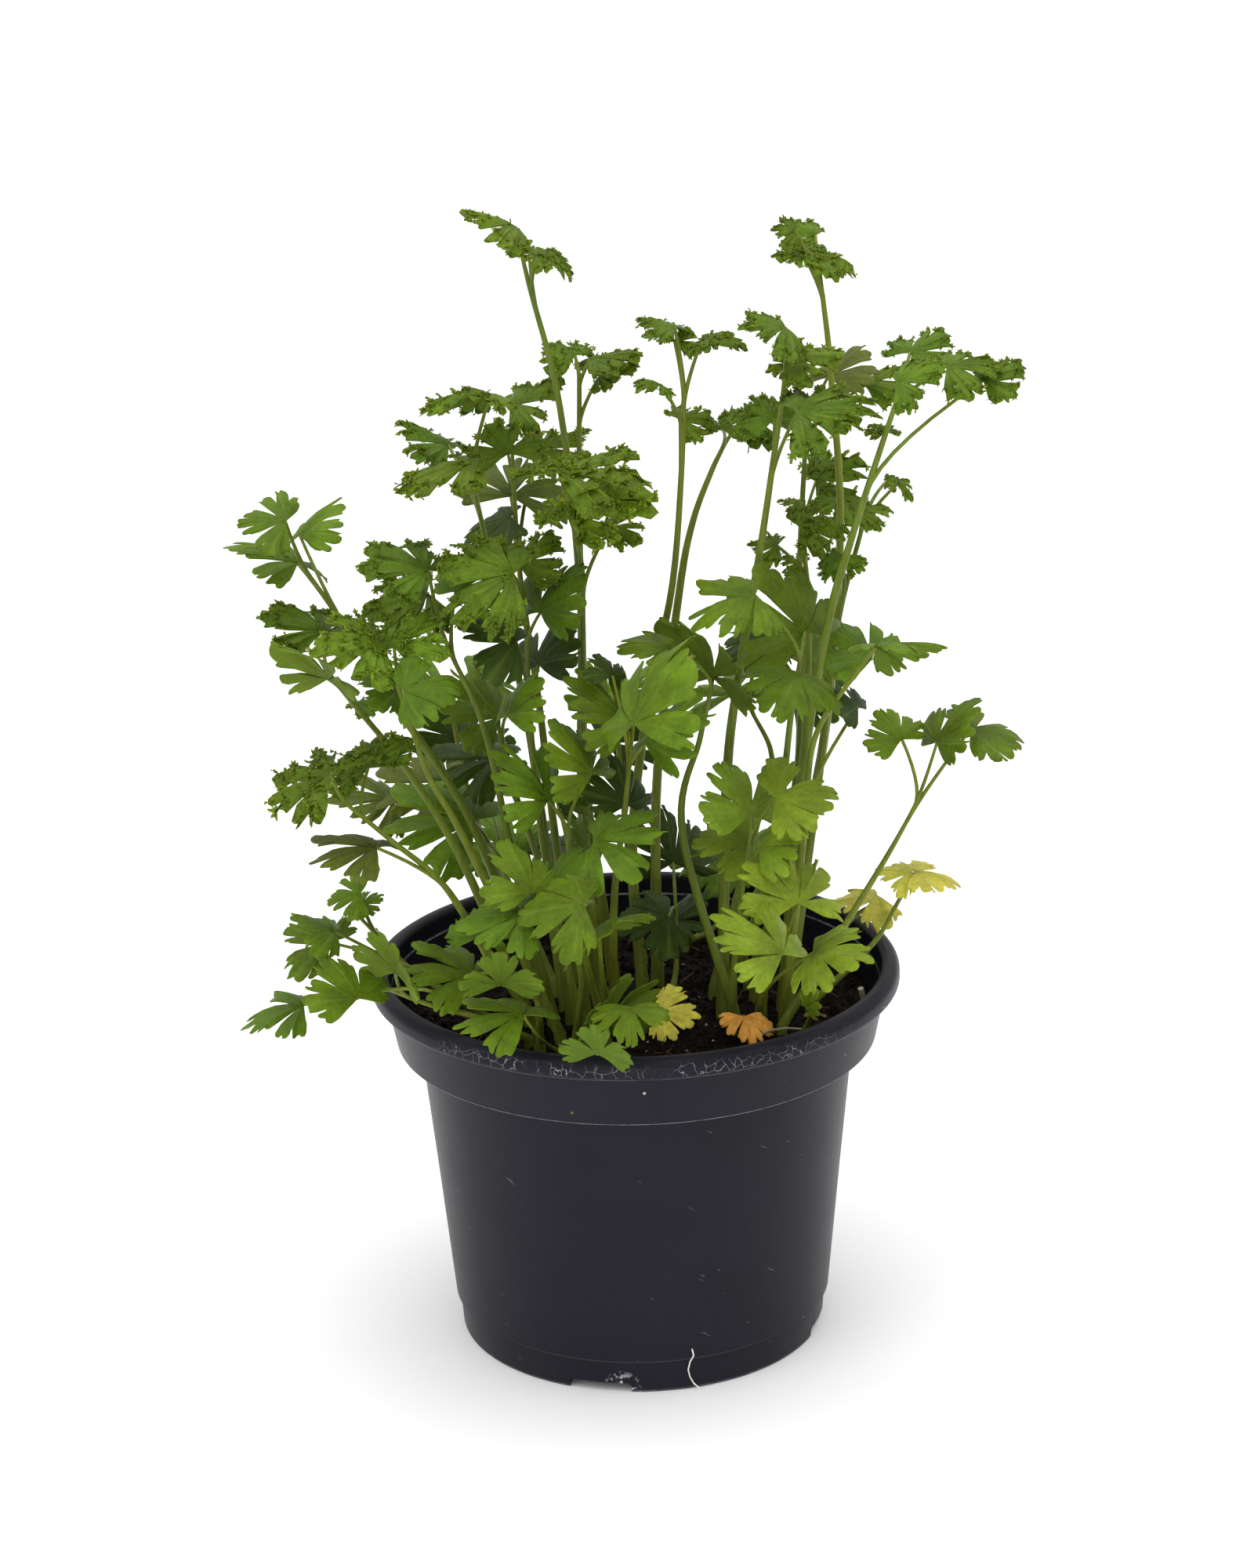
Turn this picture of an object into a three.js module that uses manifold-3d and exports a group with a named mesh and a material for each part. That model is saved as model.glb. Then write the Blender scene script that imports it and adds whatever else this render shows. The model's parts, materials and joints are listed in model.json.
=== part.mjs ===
// Curly parsley growing in a round 14 cm nursery pot.
// The origin is the centre of the pot's underside, on the surface it stands on, with +Z up.
// The front of the plant faces -Y. All lengths are millimetres and all angles degrees.
import * as THREE from 'three';
import { mergeGeometries, mergeVertices } from 'three/addons/utils/BufferGeometryUtils.js';
import Module from 'manifold-3d';

const wasm = await Module();
wasm.setup();

// Pot
const POT_HEIGHT = 103;
const RIM_RADIUS = 70.5;
const MOUTH_RADIUS = 65.5;
const LIP_DEPTH = 5.5;
const LIP_ROUNDING = 1.5;
const MOUTH_SLOPE = 1.2;
const MOUTH_DEPTH = 3;
const COLLAR_TOP_RADIUS = 67;
const COLLAR_FOOT_RADIUS = 64.2;
const COLLAR_FOOT_Z = 83;
const COLLAR_STEP = 0.4;
const BODY_TOP_RADIUS = 58;
const BAND_TOP_RADIUS = 50.9;
const BAND_INSET = 0.9;
const BAND_HEIGHT = 9;
const BAND_STEP = 0.5;
const BASE_RADIUS = 49.4;
const WALL = 1.5;
const FLOOR = 1.6;
const CHANNEL_INNER_RADIUS = 37.5;
const CHANNEL_OUTER_RADIUS = 44.5;
const CHANNEL_HEIGHT = 3;
const CHANNEL_SLOPE = 1;
const INNER_CORNER = 1.3;
const POT_SIDES = 28;

// Drain holes in the channel, and notches that let water out under the foot ring
const DRAIN_HOLES = 6;
const DRAIN_HOLE_RADIUS = 2.6;
const DRAIN_HOLE_SIDES = 6;
const DRAIN_NOTCHES = 4;
const FIRST_NOTCH_ANGLE = -104;
const NOTCH_WIDTH = 17;
const NOTCH_DEPTH = 8;
const NOTCH_HEIGHT = 2.7;

// Soil: it lies at a small clearance from the pot, and each stalk stands free in its hole
const SOIL_TOP = 91;
const CLEARANCE = 0.35;
const SOIL_EDGE_CLEARANCE = 1;
const HOLE_CLEARANCE = 0.7;

// Stalks: each one is sunk this deep, stands straight until it is this clear of the soil, and
// thins from its foot to its fork
const SUNK_DEPTH = 9;
const STRAIGHT_ABOVE_SOIL = 2;
const FOOT_RADIUS_MIN = 1.4;
const FOOT_RADIUS_PER_MM = 1 / 260;
const FORK_THINNING = 0.65;
const STALK_BEND_SPACING = 50;

// Twigs: each one leaves its stalk at the highest point from which it can rise this steeply
const TWIG_STEEPNESS = 0.75;
const TWIG_SEARCH_STEPS = 16;
const TWIG_FOOT_WIDTH = 1.2;
const TWIG_TIP_WIDTH = 1.2;
const TWIG_SPACING = 3;

// Leaf heads: thin fans cut into lobes, each lobe with a waved edge
const BLADE_THICKNESS = 0.75;
const FAN_SPREAD = 230;
const FAN_DROOP = 0.28;
const LOBE_FOLD = 0.08;
const CURLY_WAVE = 0.06;
const SIDE_SHORTENING = 0.16;
const SLIT_RADIUS = 0.36;
const RIB_START = 0.5;
const MITRE_LIMIT = 0.6;
const WIDE_HEAD = 17;
const LOBES = 3;
const WIDE_HEAD_LOBES = 5;

// Edge points of one lobe: place across the lobe from -1 to 1, radius, and rise of the fold
const LOBE_EDGE = [[-0.76, 0.97, 1], [0, 0.88, -1], [0.76, 0.97, 1]];

// Finishes, by the letter that a leaf head carries in the frond list
const LEAF_COLOURS = {
  c: '#47762a', f: '#4b7a2b', b: '#5f8f24', d: '#2f5a20', l: '#6d9a31', o: '#5f6d2b', y: '#c9c04a',
};
const POT_FINISH = { color: '#2d2b35', roughness: 0.5, metalness: 0 };
const SOIL_FINISH = { color: '#1d140d', roughness: 0.95, metalness: 0 };
const LEAF_FINISH = { roughness: 0.55, metalness: 0 };

// Fronds: name, stalk, leaf heads.
// A stalk starts at its foot [x, y] on the soil and runs through points [x, y, z] to its fork.
// A leaf head is [x, y, z] of its heel, the bearing and pitch of its middle rib, its roll about
// that rib, its length, and its kind: c curly, b bright curly, f flat, d dark, l light, o olive,
// y yellow.
const FRONDS = [
  ["tall_left", [[-12, 9], [-13, 12, 149], [-12, 14, 200], [-16, 16, 250], [-23, 17, 282]], [
    [-26, 17, 297, -165, 30, 0, 15, "c"],
    [-23, 28, 288, 105, 45, 30, 9, "c"],
    [-20, 10, 292, -15, -15, 0, 10, "c"],
  ]],
  ["upper_pair", [[-6, 16], [-12, 26, 144], [-12, 32, 208], [-11, 35, 253]], [
    [-12, 37, 259, 150, 30, -15, 10, "c"],
    [-8, 36, 258, 15, 15, 0, 14, "c"],
    [-6, 36, 253, 0, 30, 0, 11, "c"],
  ]],
  ["left_upper_front", [[-17, -12], [-22, -8, 134], [-27, -6, 176], [-33, -4, 206], [-38, -3, 233]], [
    [-33, -6, 259, -165, 15, 15, 17, "c"],
    [-45, 14, 241, 165, 30, 0, 15, "c"],
    [-39, -22, 245, -180, 0, 0, 19, "c"],
  ]],
  ["left_upper_back", [[-15, 14], [-20, 22, 123], [-24, 27, 166], [-28, 30, 200], [-29, 30, 225]], [
    [-29, 34, 247, 0, 30, 15, 15, "c"],
    [-30, 24, 236, -120, 60, 30, 14, "c"],
    [-23, 56, 229, 0, 30, -30, 15, "c"],
    [-30, 34, 222, 75, 30, 15, 18, "o"],
    [-30, 28, 218, -180, -15, -15, 14, "d"],
  ]],
  ["bright_curly", [[-9, -6], [-12, -4, 137], [-12, -2, 175], [-11, 0, 207]], [
    [-14, -16, 229, 30, 45, 0, 22, "b"],
    [-4, 2, 221, 15, 45, 0, 13, "c"],
    [-16, -26, 243, 30, 15, 0, 22, "c"],
  ]],
  ["centre_left_fan", [[-15, -19], [-22, -14, 132], [-25, -12, 163], [-26, -10, 199]], [
    [-28, -36, 220, -180, 15, -30, 20, "c"],
    [-27, -7, 214, 30, 45, 15, 13, "c"],
    [-22, -15, 204, 15, 60, 15, 16, "f"],
    [-28, -28, 200, -180, 30, -15, 16, "d"],
    [-23, -8, 188, 45, 60, -15, 16, "d"],
  ]],
  ["left_inner_curly", [[-22, -14], [-30, -18, 133], [-37, -22, 175], [-45, -24, 197]], [
    [-49, -34, 221, 150, 30, 0, 18, "c"],
    [-51, -8, 208, -165, 0, -15, 17, "c"],
    [-43, -22, 212, 30, 60, 15, 16, "f"],
  ]],
  ["left_wide_curly", [[-20, -27], [-37, -34, 137], [-45, -38, 157], [-51, -40, 170], [-57, -42, 192]], [
    [-62, -44, 206, -150, 15, -30, 16, "b"],
    [-58, -40, 203, 45, 45, 0, 15, "b"],
    [-58, -32, 190, -180, 30, -15, 12, "f"],
    [-55, -58, 197, 0, 15, 30, 13, "f"],
  ]],
  ["far_left_upper", [[-25, -7], [-42, -4, 144], [-62, -2, 178], [-73, -2, 198], [-81, -2, 211]], [
    [-86, -10, 228, -180, 15, -30, 12, "f"],
    [-85, 18, 217, 45, 45, -15, 14, "f"],
    [-85, 8, 212, 150, 30, 15, 20, "f"],
  ]],
  ["left_curly", [[-28, -15], [-44, -16, 137], [-57, -18, 163], [-70, -20, 182], [-75, -20, 189]], [
    [-78, -4, 197, 135, 30, 15, 18, "c"],
    [-76, -26, 191, -150, 60, 15, 18, "f"],
    [-70, -13, 180, 15, 15, 0, 9, "c"],
  ]],
  ["left_long_curly", [[-26, -22], [-41, -36, 126], [-49, -42, 142], [-60, -46, 154], [-70, -48, 164]], [
    [-74, -56, 176, 150, 0, -15, 18, "c"],
    [-66, -38, 171, 105, 30, -30, 15, "c"],
    [-64, -50, 154, 165, 15, 0, 17, "o"],
  ]],
  ["olive_left_back", [[-21, 4], [-35, 22, 121], [-41, 30, 130]], [
    [-49, 26, 145, 165, 15, -15, 20, "o"],
    [-42, 6, 141, 165, 30, -15, 23, "f"],
    [-42, 54, 137, 45, 60, 0, 16, "d"],
    [-65, 38, 136, -165, 30, -15, 17, "o"],
  ]],
  ["trailing_low", [[-28, -30], [-41, -41, 104], [-53, -39, 107], [-65, -36, 111]], [
    [-70, -56, 116, 135, 45, 0, 15, "f"],
    [-85, -42, 109, 165, 0, 0, 17, "f"],
    [-79, -24, 119, 150, 15, -15, 14, "f"],
    [-61, -44, 118, -135, 75, 0, 15, "f"],
  ]],
  ["trailing_high", [[-34, -20], [-45, -22, 100], [-59, -20, 110], [-71, -18, 123]], [
    [-71, -18, 130, -180, 0, -30, 9, "f"],
    [-71, -12, 125, 15, 30, 15, 6, "f"],
    [-77, -34, 126, -180, 30, 0, 12, "f"],
  ]],
  ["centre_tall", [[2, 2], [0, 8, 132], [5, 9, 171], [12, 10, 203], [15, 12, 233], [16, 12, 253]], [
    [14, 12, 271, 150, 15, 0, 11, "c"],
    [14, 18, 266, 45, 30, 15, 7, "c"],
    [21, 12, 268, -15, 15, 0, 11, "c"],
    [10, 4, 258, -135, 15, -15, 7, "c"],
    [15, 20, 245, 15, 15, 30, 9, "c"],
  ]],
  ["centre_thin", [[6, 10], [7, 22, 145], [14, 27, 196], [18, 29, 215], [23, 30, 228], [26, 31, 234]], [
    [26, 21, 242, 60, 30, 0, 9, "c"],
    [32, 32, 243, 15, 15, 0, 18, "c"],
  ]],
  ["tall_right", [[31, 8], [50, 26, 142], [57, 30, 207], [55, 32, 253], [53, 33, 274]], [
    [46, 33, 291, -165, 15, -30, 7, "c"],
    [52, 48, 287, -180, 30, -30, 9, "c"],
    [48, 34, 285, -180, 0, -15, 8, "c"],
    [50, 32, 285, 15, 0, 15, 13, "c"],
  ]],
  ["right_centre", [[23, -10], [25, -4, 153], [29, -2, 184], [35, 0, 217], [39, 2, 242], [41, 4, 254]], [
    [42, 4, 272, -150, 15, -15, 13, "c"],
    [43, 10, 261, -165, 0, -30, 6, "c"],
    [43, 4, 264, 0, 15, 15, 14, "c"],
    [44, -16, 255, 0, 15, 15, 20, "c"],
    [39, 6, 248, 120, 30, -15, 11, "c"],
  ]],
  ["olive_right", [[28, 15], [45, 34, 140], [47, 44, 199], [49, 48, 232]], [
    [55, 48, 249, 45, 30, 0, 16, "o"],
    [65, 50, 246, 30, 30, 0, 13, "c"],
    [52, 54, 219, 0, 30, 30, 14, "c"],
    [58, 44, 217, -75, -15, 0, 11, "c"],
  ]],
  ["right_top", [[39, -10], [44, -14, 156], [51, -16, 199], [57, -18, 222],
    [64, -18, 244], [68, -18, 256]], [
    [73, -2, 266, 30, 30, 15, 12, "c"],
    [68, -26, 264, -15, 30, 30, 12, "c"],
    [81, -18, 266, 0, 15, 15, 13, "c"],
    [90, -18, 262, 15, 30, 15, 11, "c"],
    [66, -12, 248, 120, 30, 0, 6, "c"],
  ]],
  ["right_mid_dark", [[41, -2], [50, 6, 153], [55, 10, 191], [62, 12, 218]], [
    [70, 34, 224, 0, 0, 0, 6, "c"],
    [71, 14, 228, 45, 0, 30, 6, "c"],
    [61, 6, 223, 15, 15, 15, 8, "c"],
    [56, 4, 212, -135, -30, 0, 9, "c"],
  ]],
  ["right_mid_small", [[32, -1], [45, 14, 146], [48, 18, 189], [47, 20, 210]], [
    [46, 20, 222, -180, 15, 0, 6, "c"],
    [45, -2, 221, 0, 15, 30, 12, "c"],
    [40, 22, 210, -180, 15, -15, 8, "c"],
    [46, 22, 205, 150, 15, -15, 6, "c"],
  ]],
  ["right_big_flat", [[33, -12], [38, -24, 149], [41, -30, 181], [43, -32, 193]], [
    [32, -36, 213, -165, 0, -15, 17, "f"],
    [45, -18, 198, 150, 60, -15, 21, "f"],
    [42, -40, 194, -105, -15, -15, 15, "f"],
  ]],
  ["centre_right_flat", [[26, -17], [13, -18, 145], [18, -20, 171], [21, -20, 184]], [
    [11, -18, 195, -165, 15, -15, 14, "f"],
    [22, -4, 182, -120, 75, -15, 22, "f"],
  ]],
  ["right_arm_flat", [[39, -17], [44, -26, 147], [47, -30, 174], [58, -34, 193]], [
    [63, -4, 186, 135, 45, 0, 16, "f"],
    [62, -36, 199, -15, 15, -30, 18, "f"],
    [59, -10, 175, 165, 45, 0, 12, "d"],
  ]],
  ["under_right", [[21, 3], [36, 24, 141], [38, 28, 151], [33, 30, 162]], [
    [28, 32, 166, 90, 15, -15, 17, "f"],
    [37, 26, 184, -150, -15, -15, 14, "d"],
  ]],
  ["centre_big", [[-6, -20], [-5, -30, 131], [-2, -34, 155], [0, -36, 172]], [
    [-1, -28, 178, 165, 60, -15, 18, "f"],
    [1, -66, 190, 60, 60, -30, 25, "f"],
    [4, -36, 175, 30, 45, -15, 20, "f"],
    [-4, -26, 190, 120, 45, 15, 8, "d"],
    [-1, -28, 156, 105, 60, 30, 15, "d"],
  ]],
  ["centre_left_big", [[-12, -26], [-16, -34, 132], [-16, -36, 154]], [
    [-10, -38, 168, 150, 60, 0, 17, "f"],
    [-19, -24, 156, 30, 45, 15, 9, "d"],
    [-21, -40, 162, 150, 60, 0, 18, "f"],
  ]],
  ["left_mid_flat", [[-19, -5], [-24, 0, 127], [-31, 2, 152], [-34, 4, 165]], [
    [-34, 2, 171, 165, 45, -15, 19, "f"],
    [-31, -32, 182, 45, 60, -15, 13, "f"],
    [-36, 12, 156, 165, 15, -15, 17, "d"],
  ]],
  ["right_front_pair", [[38, -25], [55, -22, 120], [66, -18, 137], [73, -16, 149]], [
    [70, -16, 168, 135, 45, -15, 11, "f"],
    [79, -16, 167, 15, 60, 0, 15, "f"],
    [88, -12, 169, 15, 0, 15, 15, "f"],
  ]],
  ["front_right_mid", [[25, -22], [26, -34, 121], [30, -42, 153]], [
    [30, -40, 157, 120, 60, 15, 16, "l"],
    [36, -46, 163, 0, 15, 30, 15, "l"],
    [30, -26, 145, -180, 15, -30, 14, "l"],
    [32, -46, 150, 0, 45, 15, 13, "l"],
  ]],
  ["light_front", [[32, -20], [34, -38, 115], [38, -46, 126]], [
    [41, -54, 138, 105, 45, 15, 18, "l"],
    [36, -76, 133, 150, 45, 0, 19, "l"],
    [45, -50, 123, -30, 15, 15, 16, "l"],
  ]],
  ["yellow_right", [[46, -11], [63, -4, 107], [70, 2, 116]], [
    [74, 2, 125, -180, 15, -15, 9, "y"],
    [75, 2, 125, 0, 0, 0, 12, "y"],
  ]],
  ["yellow_green_right", [[41, 6], [58, 16, 106], [64, 20, 109]], [
    [66, 20, 112, -165, 0, 0, 14, "y"],
  ]],
  ["front_centre_top", [[-8, -32], [-14, -42, 129], [-12, -50, 148]], [
    [-10, -22, 140, 165, 75, 0, 14, "f"],
    [-9, -54, 156, -15, 15, 15, 19, "f"],
  ]],
  ["front_centre_mid", [[-3, -27], [-8, -42, 112], [-9, -49, 132]], [
    [-12, -79, 148, -180, 0, -30, 16, "f"],
    [-10, -52, 131, -60, 45, 15, 16, "f"],
  ]],
  ["front_left_mid", [[-16, -37], [-14, -46, 118], [-21, -52, 137]], [
    [-25, -68, 148, 135, 60, 0, 14, "f"],
    [-21, -50, 142, 45, 60, -15, 13, "f"],
    [-27, -70, 143, -180, 0, -15, 17, "f"],
  ]],
  ["front_left_light", [[-25, -35], [-26, -48, 114], [-37, -54, 124]], [
    [-34, -62, 121, -105, 75, 15, 12, "f"],
    [-40, -50, 129, 75, 60, -15, 10, "f"],
    [-42, -34, 113, 150, 30, 0, 18, "f"],
  ]],
  ["front_left_low", [[-19, -42], [-23, -50, 100]], [
    [-28, -68, 115, 150, 15, 0, 17, "f"],
  ]],
  ["front_low", [[-9, -38], [-9, -48, 102]], [
    [-8, -46, 103, -45, 75, 0, 17, "f"],
    [-2, -74, 119, -90, -30, 0, 10, "f"],
    [-10, -72, 106, -105, 75, 0, 11, "f"],
  ]],
  ["dark_centre", [[9, -6], [11, 2, 100], [11, 4, 114]], [
    [9, -8, 118, -165, 0, -30, 14, "d"],
    [10, 16, 107, 0, 45, 15, 14, "d"],
    [11, 22, 122, 105, 60, 15, 17, "d"],
  ]],
  ["small_right", [[44, -28], [45, -36, 101]], [
    [44, -35, 102, -15, 75, 30, 7, "l"],
  ]],
  ["back_left", [[-26, 22], [-42, 44, 125], [-47, 52, 145], [-49, 55, 158]], [
    [-51, 58, 161, 150, 45, 15, 18, "f"],
    [-44, 54, 167, -15, -15, 15, 15, "f"],
    [-48, 60, 146, 150, 45, -15, 15, "d"],
  ]],
  ["back_low_left", [[-16, 36], [-26, 50, 99], [-29, 58, 112]], [
    [-33, 60, 113, 135, 45, -15, 16, "f"],
    [-24, 50, 118, 15, 15, 0, 15, "d"],
    [-30, 69, 109, 90, 30, 0, 14, "d"],
  ]],
  ["back_middle", [[2, 26], [-1, 38, 119], [-3, 46, 146], [-4, 48, 159]], [
    [-6, 64, 155, 135, 60, 0, 14, "f"],
    [-1, 48, 162, 15, 30, 0, 18, "f"],
    [-7, 54, 146, 45, 45, 0, 17, "d"],
  ]],
  ["back_right", [[24, 24], [43, 40, 126], [47, 50, 157], [48, 52, 167]], [
    [45, 56, 169, 120, 60, 15, 16, "f"],
    [50, 50, 174, -15, 15, 30, 15, "f"],
    [45, 56, 159, 30, 30, 15, 16, "d"],
  ]],
  ["back_low_right", [[14, 38], [23, 48, 94], [26, 54, 108]], [
    [26, 54, 113, -180, 0, -30, 16, "f"],
    [28, 54, 112, 15, 30, 15, 16, "f"],
  ]],
];

// Fallen leaves: each one lies a hair above the soil and keeps a short end of its twig
const FALLEN_GAP = 0.3;
const FALLEN_PITCH = 10;
const FALLEN_TWIG_LENGTH = 7;

// Fallen leaves on the soil: name, heel [x, y], bearing, roll, length, colour
const FALLEN_LEAVES = [
  ["fallen_yellow_leaf", [6, -20], -15, 8, 11, "#d6cc3f"],
  ["fallen_orange_leaf", [28, -31], -75, -6, 9, "#cf8a33"],
];

const radians = THREE.MathUtils.degToRad;

// Turns a closed three.js geometry into a solid for joining and cutting.
function solid(geometry) {
  const bare = geometry.clone();
  bare.deleteAttribute('normal');
  bare.deleteAttribute('uv');
  const merged = mergeVertices(bare, 1e-4);
  const vertProperties = new Float32Array(merged.attributes.position.array);
  const triVerts = new Uint32Array(merged.index.array);
  return new wasm.Manifold(new wasm.Mesh({ numProp: 3, vertProperties, triVerts }));
}

// Gives a solid back as a three.js mesh with its name and finish.
function named(name, body, finish) {
  const { vertProperties, triVerts } = body.getMesh();
  const geometry = new THREE.BufferGeometry();
  geometry.setAttribute('position', new THREE.BufferAttribute(new Float32Array(vertProperties), 3));
  geometry.setIndex(new THREE.BufferAttribute(new Uint32Array(triVerts), 1));
  geometry.computeVertexNormals();
  const mesh = new THREE.Mesh(geometry, new THREE.MeshStandardMaterial(finish));
  mesh.name = name;
  return mesh;
}

// A body turned about +Z from a profile of [radius, z] points that starts and ends on the axis.
function turned(profile) {
  const points = profile.map(([r, z]) => new THREE.Vector2(r, z));
  return solid(new THREE.LatheGeometry(points, POT_SIDES).rotateX(Math.PI / 2));
}

// The inside of the pot, from the middle of its floor up to the mouth.
const POT_INSIDE = [
  [0, FLOOR],
  [CHANNEL_INNER_RADIUS - 2 * CHANNEL_SLOPE, FLOOR],
  [CHANNEL_INNER_RADIUS - CHANNEL_SLOPE, CHANNEL_HEIGHT + FLOOR],
  [BASE_RADIUS - WALL - INNER_CORNER, CHANNEL_HEIGHT + FLOOR],
  [BASE_RADIUS - WALL, CHANNEL_HEIGHT + FLOOR + INNER_CORNER],
  [BODY_TOP_RADIUS - WALL, COLLAR_FOOT_Z + WALL - COLLAR_STEP],
  [COLLAR_FOOT_RADIUS - WALL, COLLAR_FOOT_Z + WALL + COLLAR_STEP],
  [MOUTH_RADIUS, POT_HEIGHT - MOUTH_DEPTH],
];

// The pot: a turned shell, drain holes through its raised channel, and notches under its foot ring.
function pot() {
  const outside = [
    [0, 0],
    [CHANNEL_INNER_RADIUS, 0],
    [CHANNEL_INNER_RADIUS + CHANNEL_SLOPE, CHANNEL_HEIGHT],
    [CHANNEL_OUTER_RADIUS, CHANNEL_HEIGHT],
    [CHANNEL_OUTER_RADIUS + CHANNEL_SLOPE, 0],
    [BASE_RADIUS, 0],
    [BAND_TOP_RADIUS - BAND_INSET, BAND_HEIGHT],
    [BAND_TOP_RADIUS, BAND_HEIGHT + BAND_STEP],
    [BODY_TOP_RADIUS, COLLAR_FOOT_Z - COLLAR_STEP],
    [COLLAR_FOOT_RADIUS, COLLAR_FOOT_Z],
    [COLLAR_TOP_RADIUS, POT_HEIGHT - LIP_DEPTH],
    [RIM_RADIUS, POT_HEIGHT - LIP_DEPTH],
    [RIM_RADIUS, POT_HEIGHT - LIP_ROUNDING],
    [RIM_RADIUS - LIP_ROUNDING, POT_HEIGHT],
    [MOUTH_RADIUS + MOUTH_SLOPE, POT_HEIGHT],
  ];
  let body = turned([...outside, ...POT_INSIDE.toReversed()]);
  const channelMiddle = (CHANNEL_INNER_RADIUS + CHANNEL_SLOPE + CHANNEL_OUTER_RADIUS) / 2;
  for (let i = 0; i < DRAIN_HOLES; i++) {
    const angle = ((i + 0.5) / DRAIN_HOLES) * 2 * Math.PI;
    const reach = 2 * (CHANNEL_HEIGHT + FLOOR);
    const [bore, sides] = [DRAIN_HOLE_RADIUS, DRAIN_HOLE_SIDES];
    const drill = new THREE.CylinderGeometry(bore, bore, reach, sides);
    drill.rotateX(Math.PI / 2);
    drill.translate(channelMiddle * Math.cos(angle), channelMiddle * Math.sin(angle), CHANNEL_HEIGHT);
    body = body.subtract(solid(drill));
  }
  const ringMiddle = (CHANNEL_OUTER_RADIUS + BASE_RADIUS) / 2;
  for (let i = 0; i < DRAIN_NOTCHES; i++) {
    const angle = radians(FIRST_NOTCH_ANGLE) + (i / DRAIN_NOTCHES) * 2 * Math.PI;
    const cutter = new THREE.BoxGeometry(NOTCH_DEPTH, NOTCH_WIDTH, 2 * NOTCH_HEIGHT);
    cutter.translate(ringMiddle, 0, 0).rotateZ(angle);
    body = body.subtract(solid(cutter));
  }
  return body;
}

// The soil follows the inside of the pot at a small clearance and has a plain hole for each stalk.
function soil(stalks) {
  const filled = POT_INSIDE.slice(0, -1).map(([r, z]) => [Math.max(r - CLEARANCE, 0), z + CLEARANCE]);
  const wall = THREE.MathUtils.mapLinear(
    SOIL_TOP, COLLAR_FOOT_Z, POT_HEIGHT, COLLAR_FOOT_RADIUS - WALL, MOUTH_RADIUS);
  let body = turned([...filled, [wall - SOIL_EDGE_CLEARANCE, SOIL_TOP], [0, SOIL_TOP]]);
  for (const { foot, footRadius } of stalks) {
    const radius = (footRadius + HOLE_CLEARANCE) / Math.cos(Math.PI / 4);
    const drill = new THREE.CylinderGeometry(radius, radius, 2 * (SUNK_DEPTH + CLEARANCE), 4);
    drill.rotateX(Math.PI / 2).translate(foot.x, foot.y, SOIL_TOP);
    body = body.subtract(solid(drill));
  }
  return body;
}

// The edge of a fan, from one side round to the other: angle about the heel, radius and rise,
// both for a fan of length 1.
function fanEdge(size, kind) {
  const lobes = size >= WIDE_HEAD ? WIDE_HEAD_LOBES : LOBES;
  const wave = kind === 'c' || kind === 'b' ? CURLY_WAVE : 0;
  const edge = [];
  for (let lobe = 0; lobe < lobes; lobe++) {
    LOBE_EDGE.forEach(([place, reach, fold], i) => {
      const across = (lobe + 0.5 + place / 2) / lobes;
      const radius = reach * (1 - SIDE_SHORTENING * (2 * across - 1) ** 2);
      const waved = (i + lobe) % 2 ? wave : -wave;
      const rise = LOBE_FOLD * fold * radius - FAN_DROOP * radius ** 2 + waved;
      edge.push({ angle: radians((across - 0.5) * FAN_SPREAD), radius, rise });
    });
    if (lobe < lobes - 1) {
      const across = (lobe + 1) / lobes;
      edge.push({ angle: radians((across - 0.5) * FAN_SPREAD), radius: SLIT_RADIUS, rise: 0 });
    }
  }
  return edge;
}

// One leaf head on its stem, in one closed skin. The blade is a thin disc whose rim is drawn out
// to the fan's edge. The rim's facet at the heel is left open, and a four-sided stem grows from
// its border down the path, which lists { point, width, thickness } from below the heel downwards.
function leafHead({ heel, bearing, pitch, roll, size, kind }, path) {
  const turn = new THREE.Matrix4().makeRotationFromEuler(
    new THREE.Euler(radians(roll), -radians(pitch), radians(bearing), 'ZYX'));
  const [rib, side, face] = [0, 1, 2].map((i) => new THREE.Vector3().setFromMatrixColumn(turn, i));
  const half = BLADE_THICKNESS / 2;
  const spot = (x, y, z) => {
    return heel.clone().addScaledVector(rib, x).addScaledVector(side, y).addScaledVector(face, z);
  };
  const edge = fanEdge(size, kind).map(({ angle, radius, rise }) => {
    const at = spot(size * radius * Math.cos(angle), size * radius * Math.sin(angle), size * rise);
    return { at, up: face.clone().multiplyScalar(half) };
  });
  const rings = stemRings(heel, side, face, path);
  const blade = discOf([...edge, ...rings[0]], { at: spot(RIB_START, 0, 0), up: edge[0].up });
  return solid(mergeGeometries([blade, barOf(rings)]));
}

// Rings of a stem from the heel downwards. Each ring is a pair of points at its two sides,
// with the step from each point up to its top corner. The ring at the heel is mitred to the blade.
function stemRings(heel, side, face, path) {
  const points = [heel, ...path.map(({ point }) => point)];
  const across = side.clone();
  return points.map((point, i) => {
    const before = points[Math.max(i - 1, 0)];
    const after = points[Math.min(i + 1, points.length - 1)];
    const along = before.clone().sub(after).normalize();
    across.addScaledVector(along, -across.dot(along)).normalize();
    const over = along.clone().cross(across);
    const tip = { width: TWIG_TIP_WIDTH, thickness: BLADE_THICKNESS };
    const { width, thickness } = i > 0 ? path[i - 1] : tip;
    const up = i > 0 ? over : over.add(face).divideScalar(Math.max(1 + over.dot(face), MITRE_LIMIT));
    up.multiplyScalar(thickness / 2);
    const spread = i > 0 ? across : side;
    return [1, -1].map((s) => ({ at: point.clone().addScaledVector(spread, (s * width) / 2), up }));
  });
}

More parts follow.
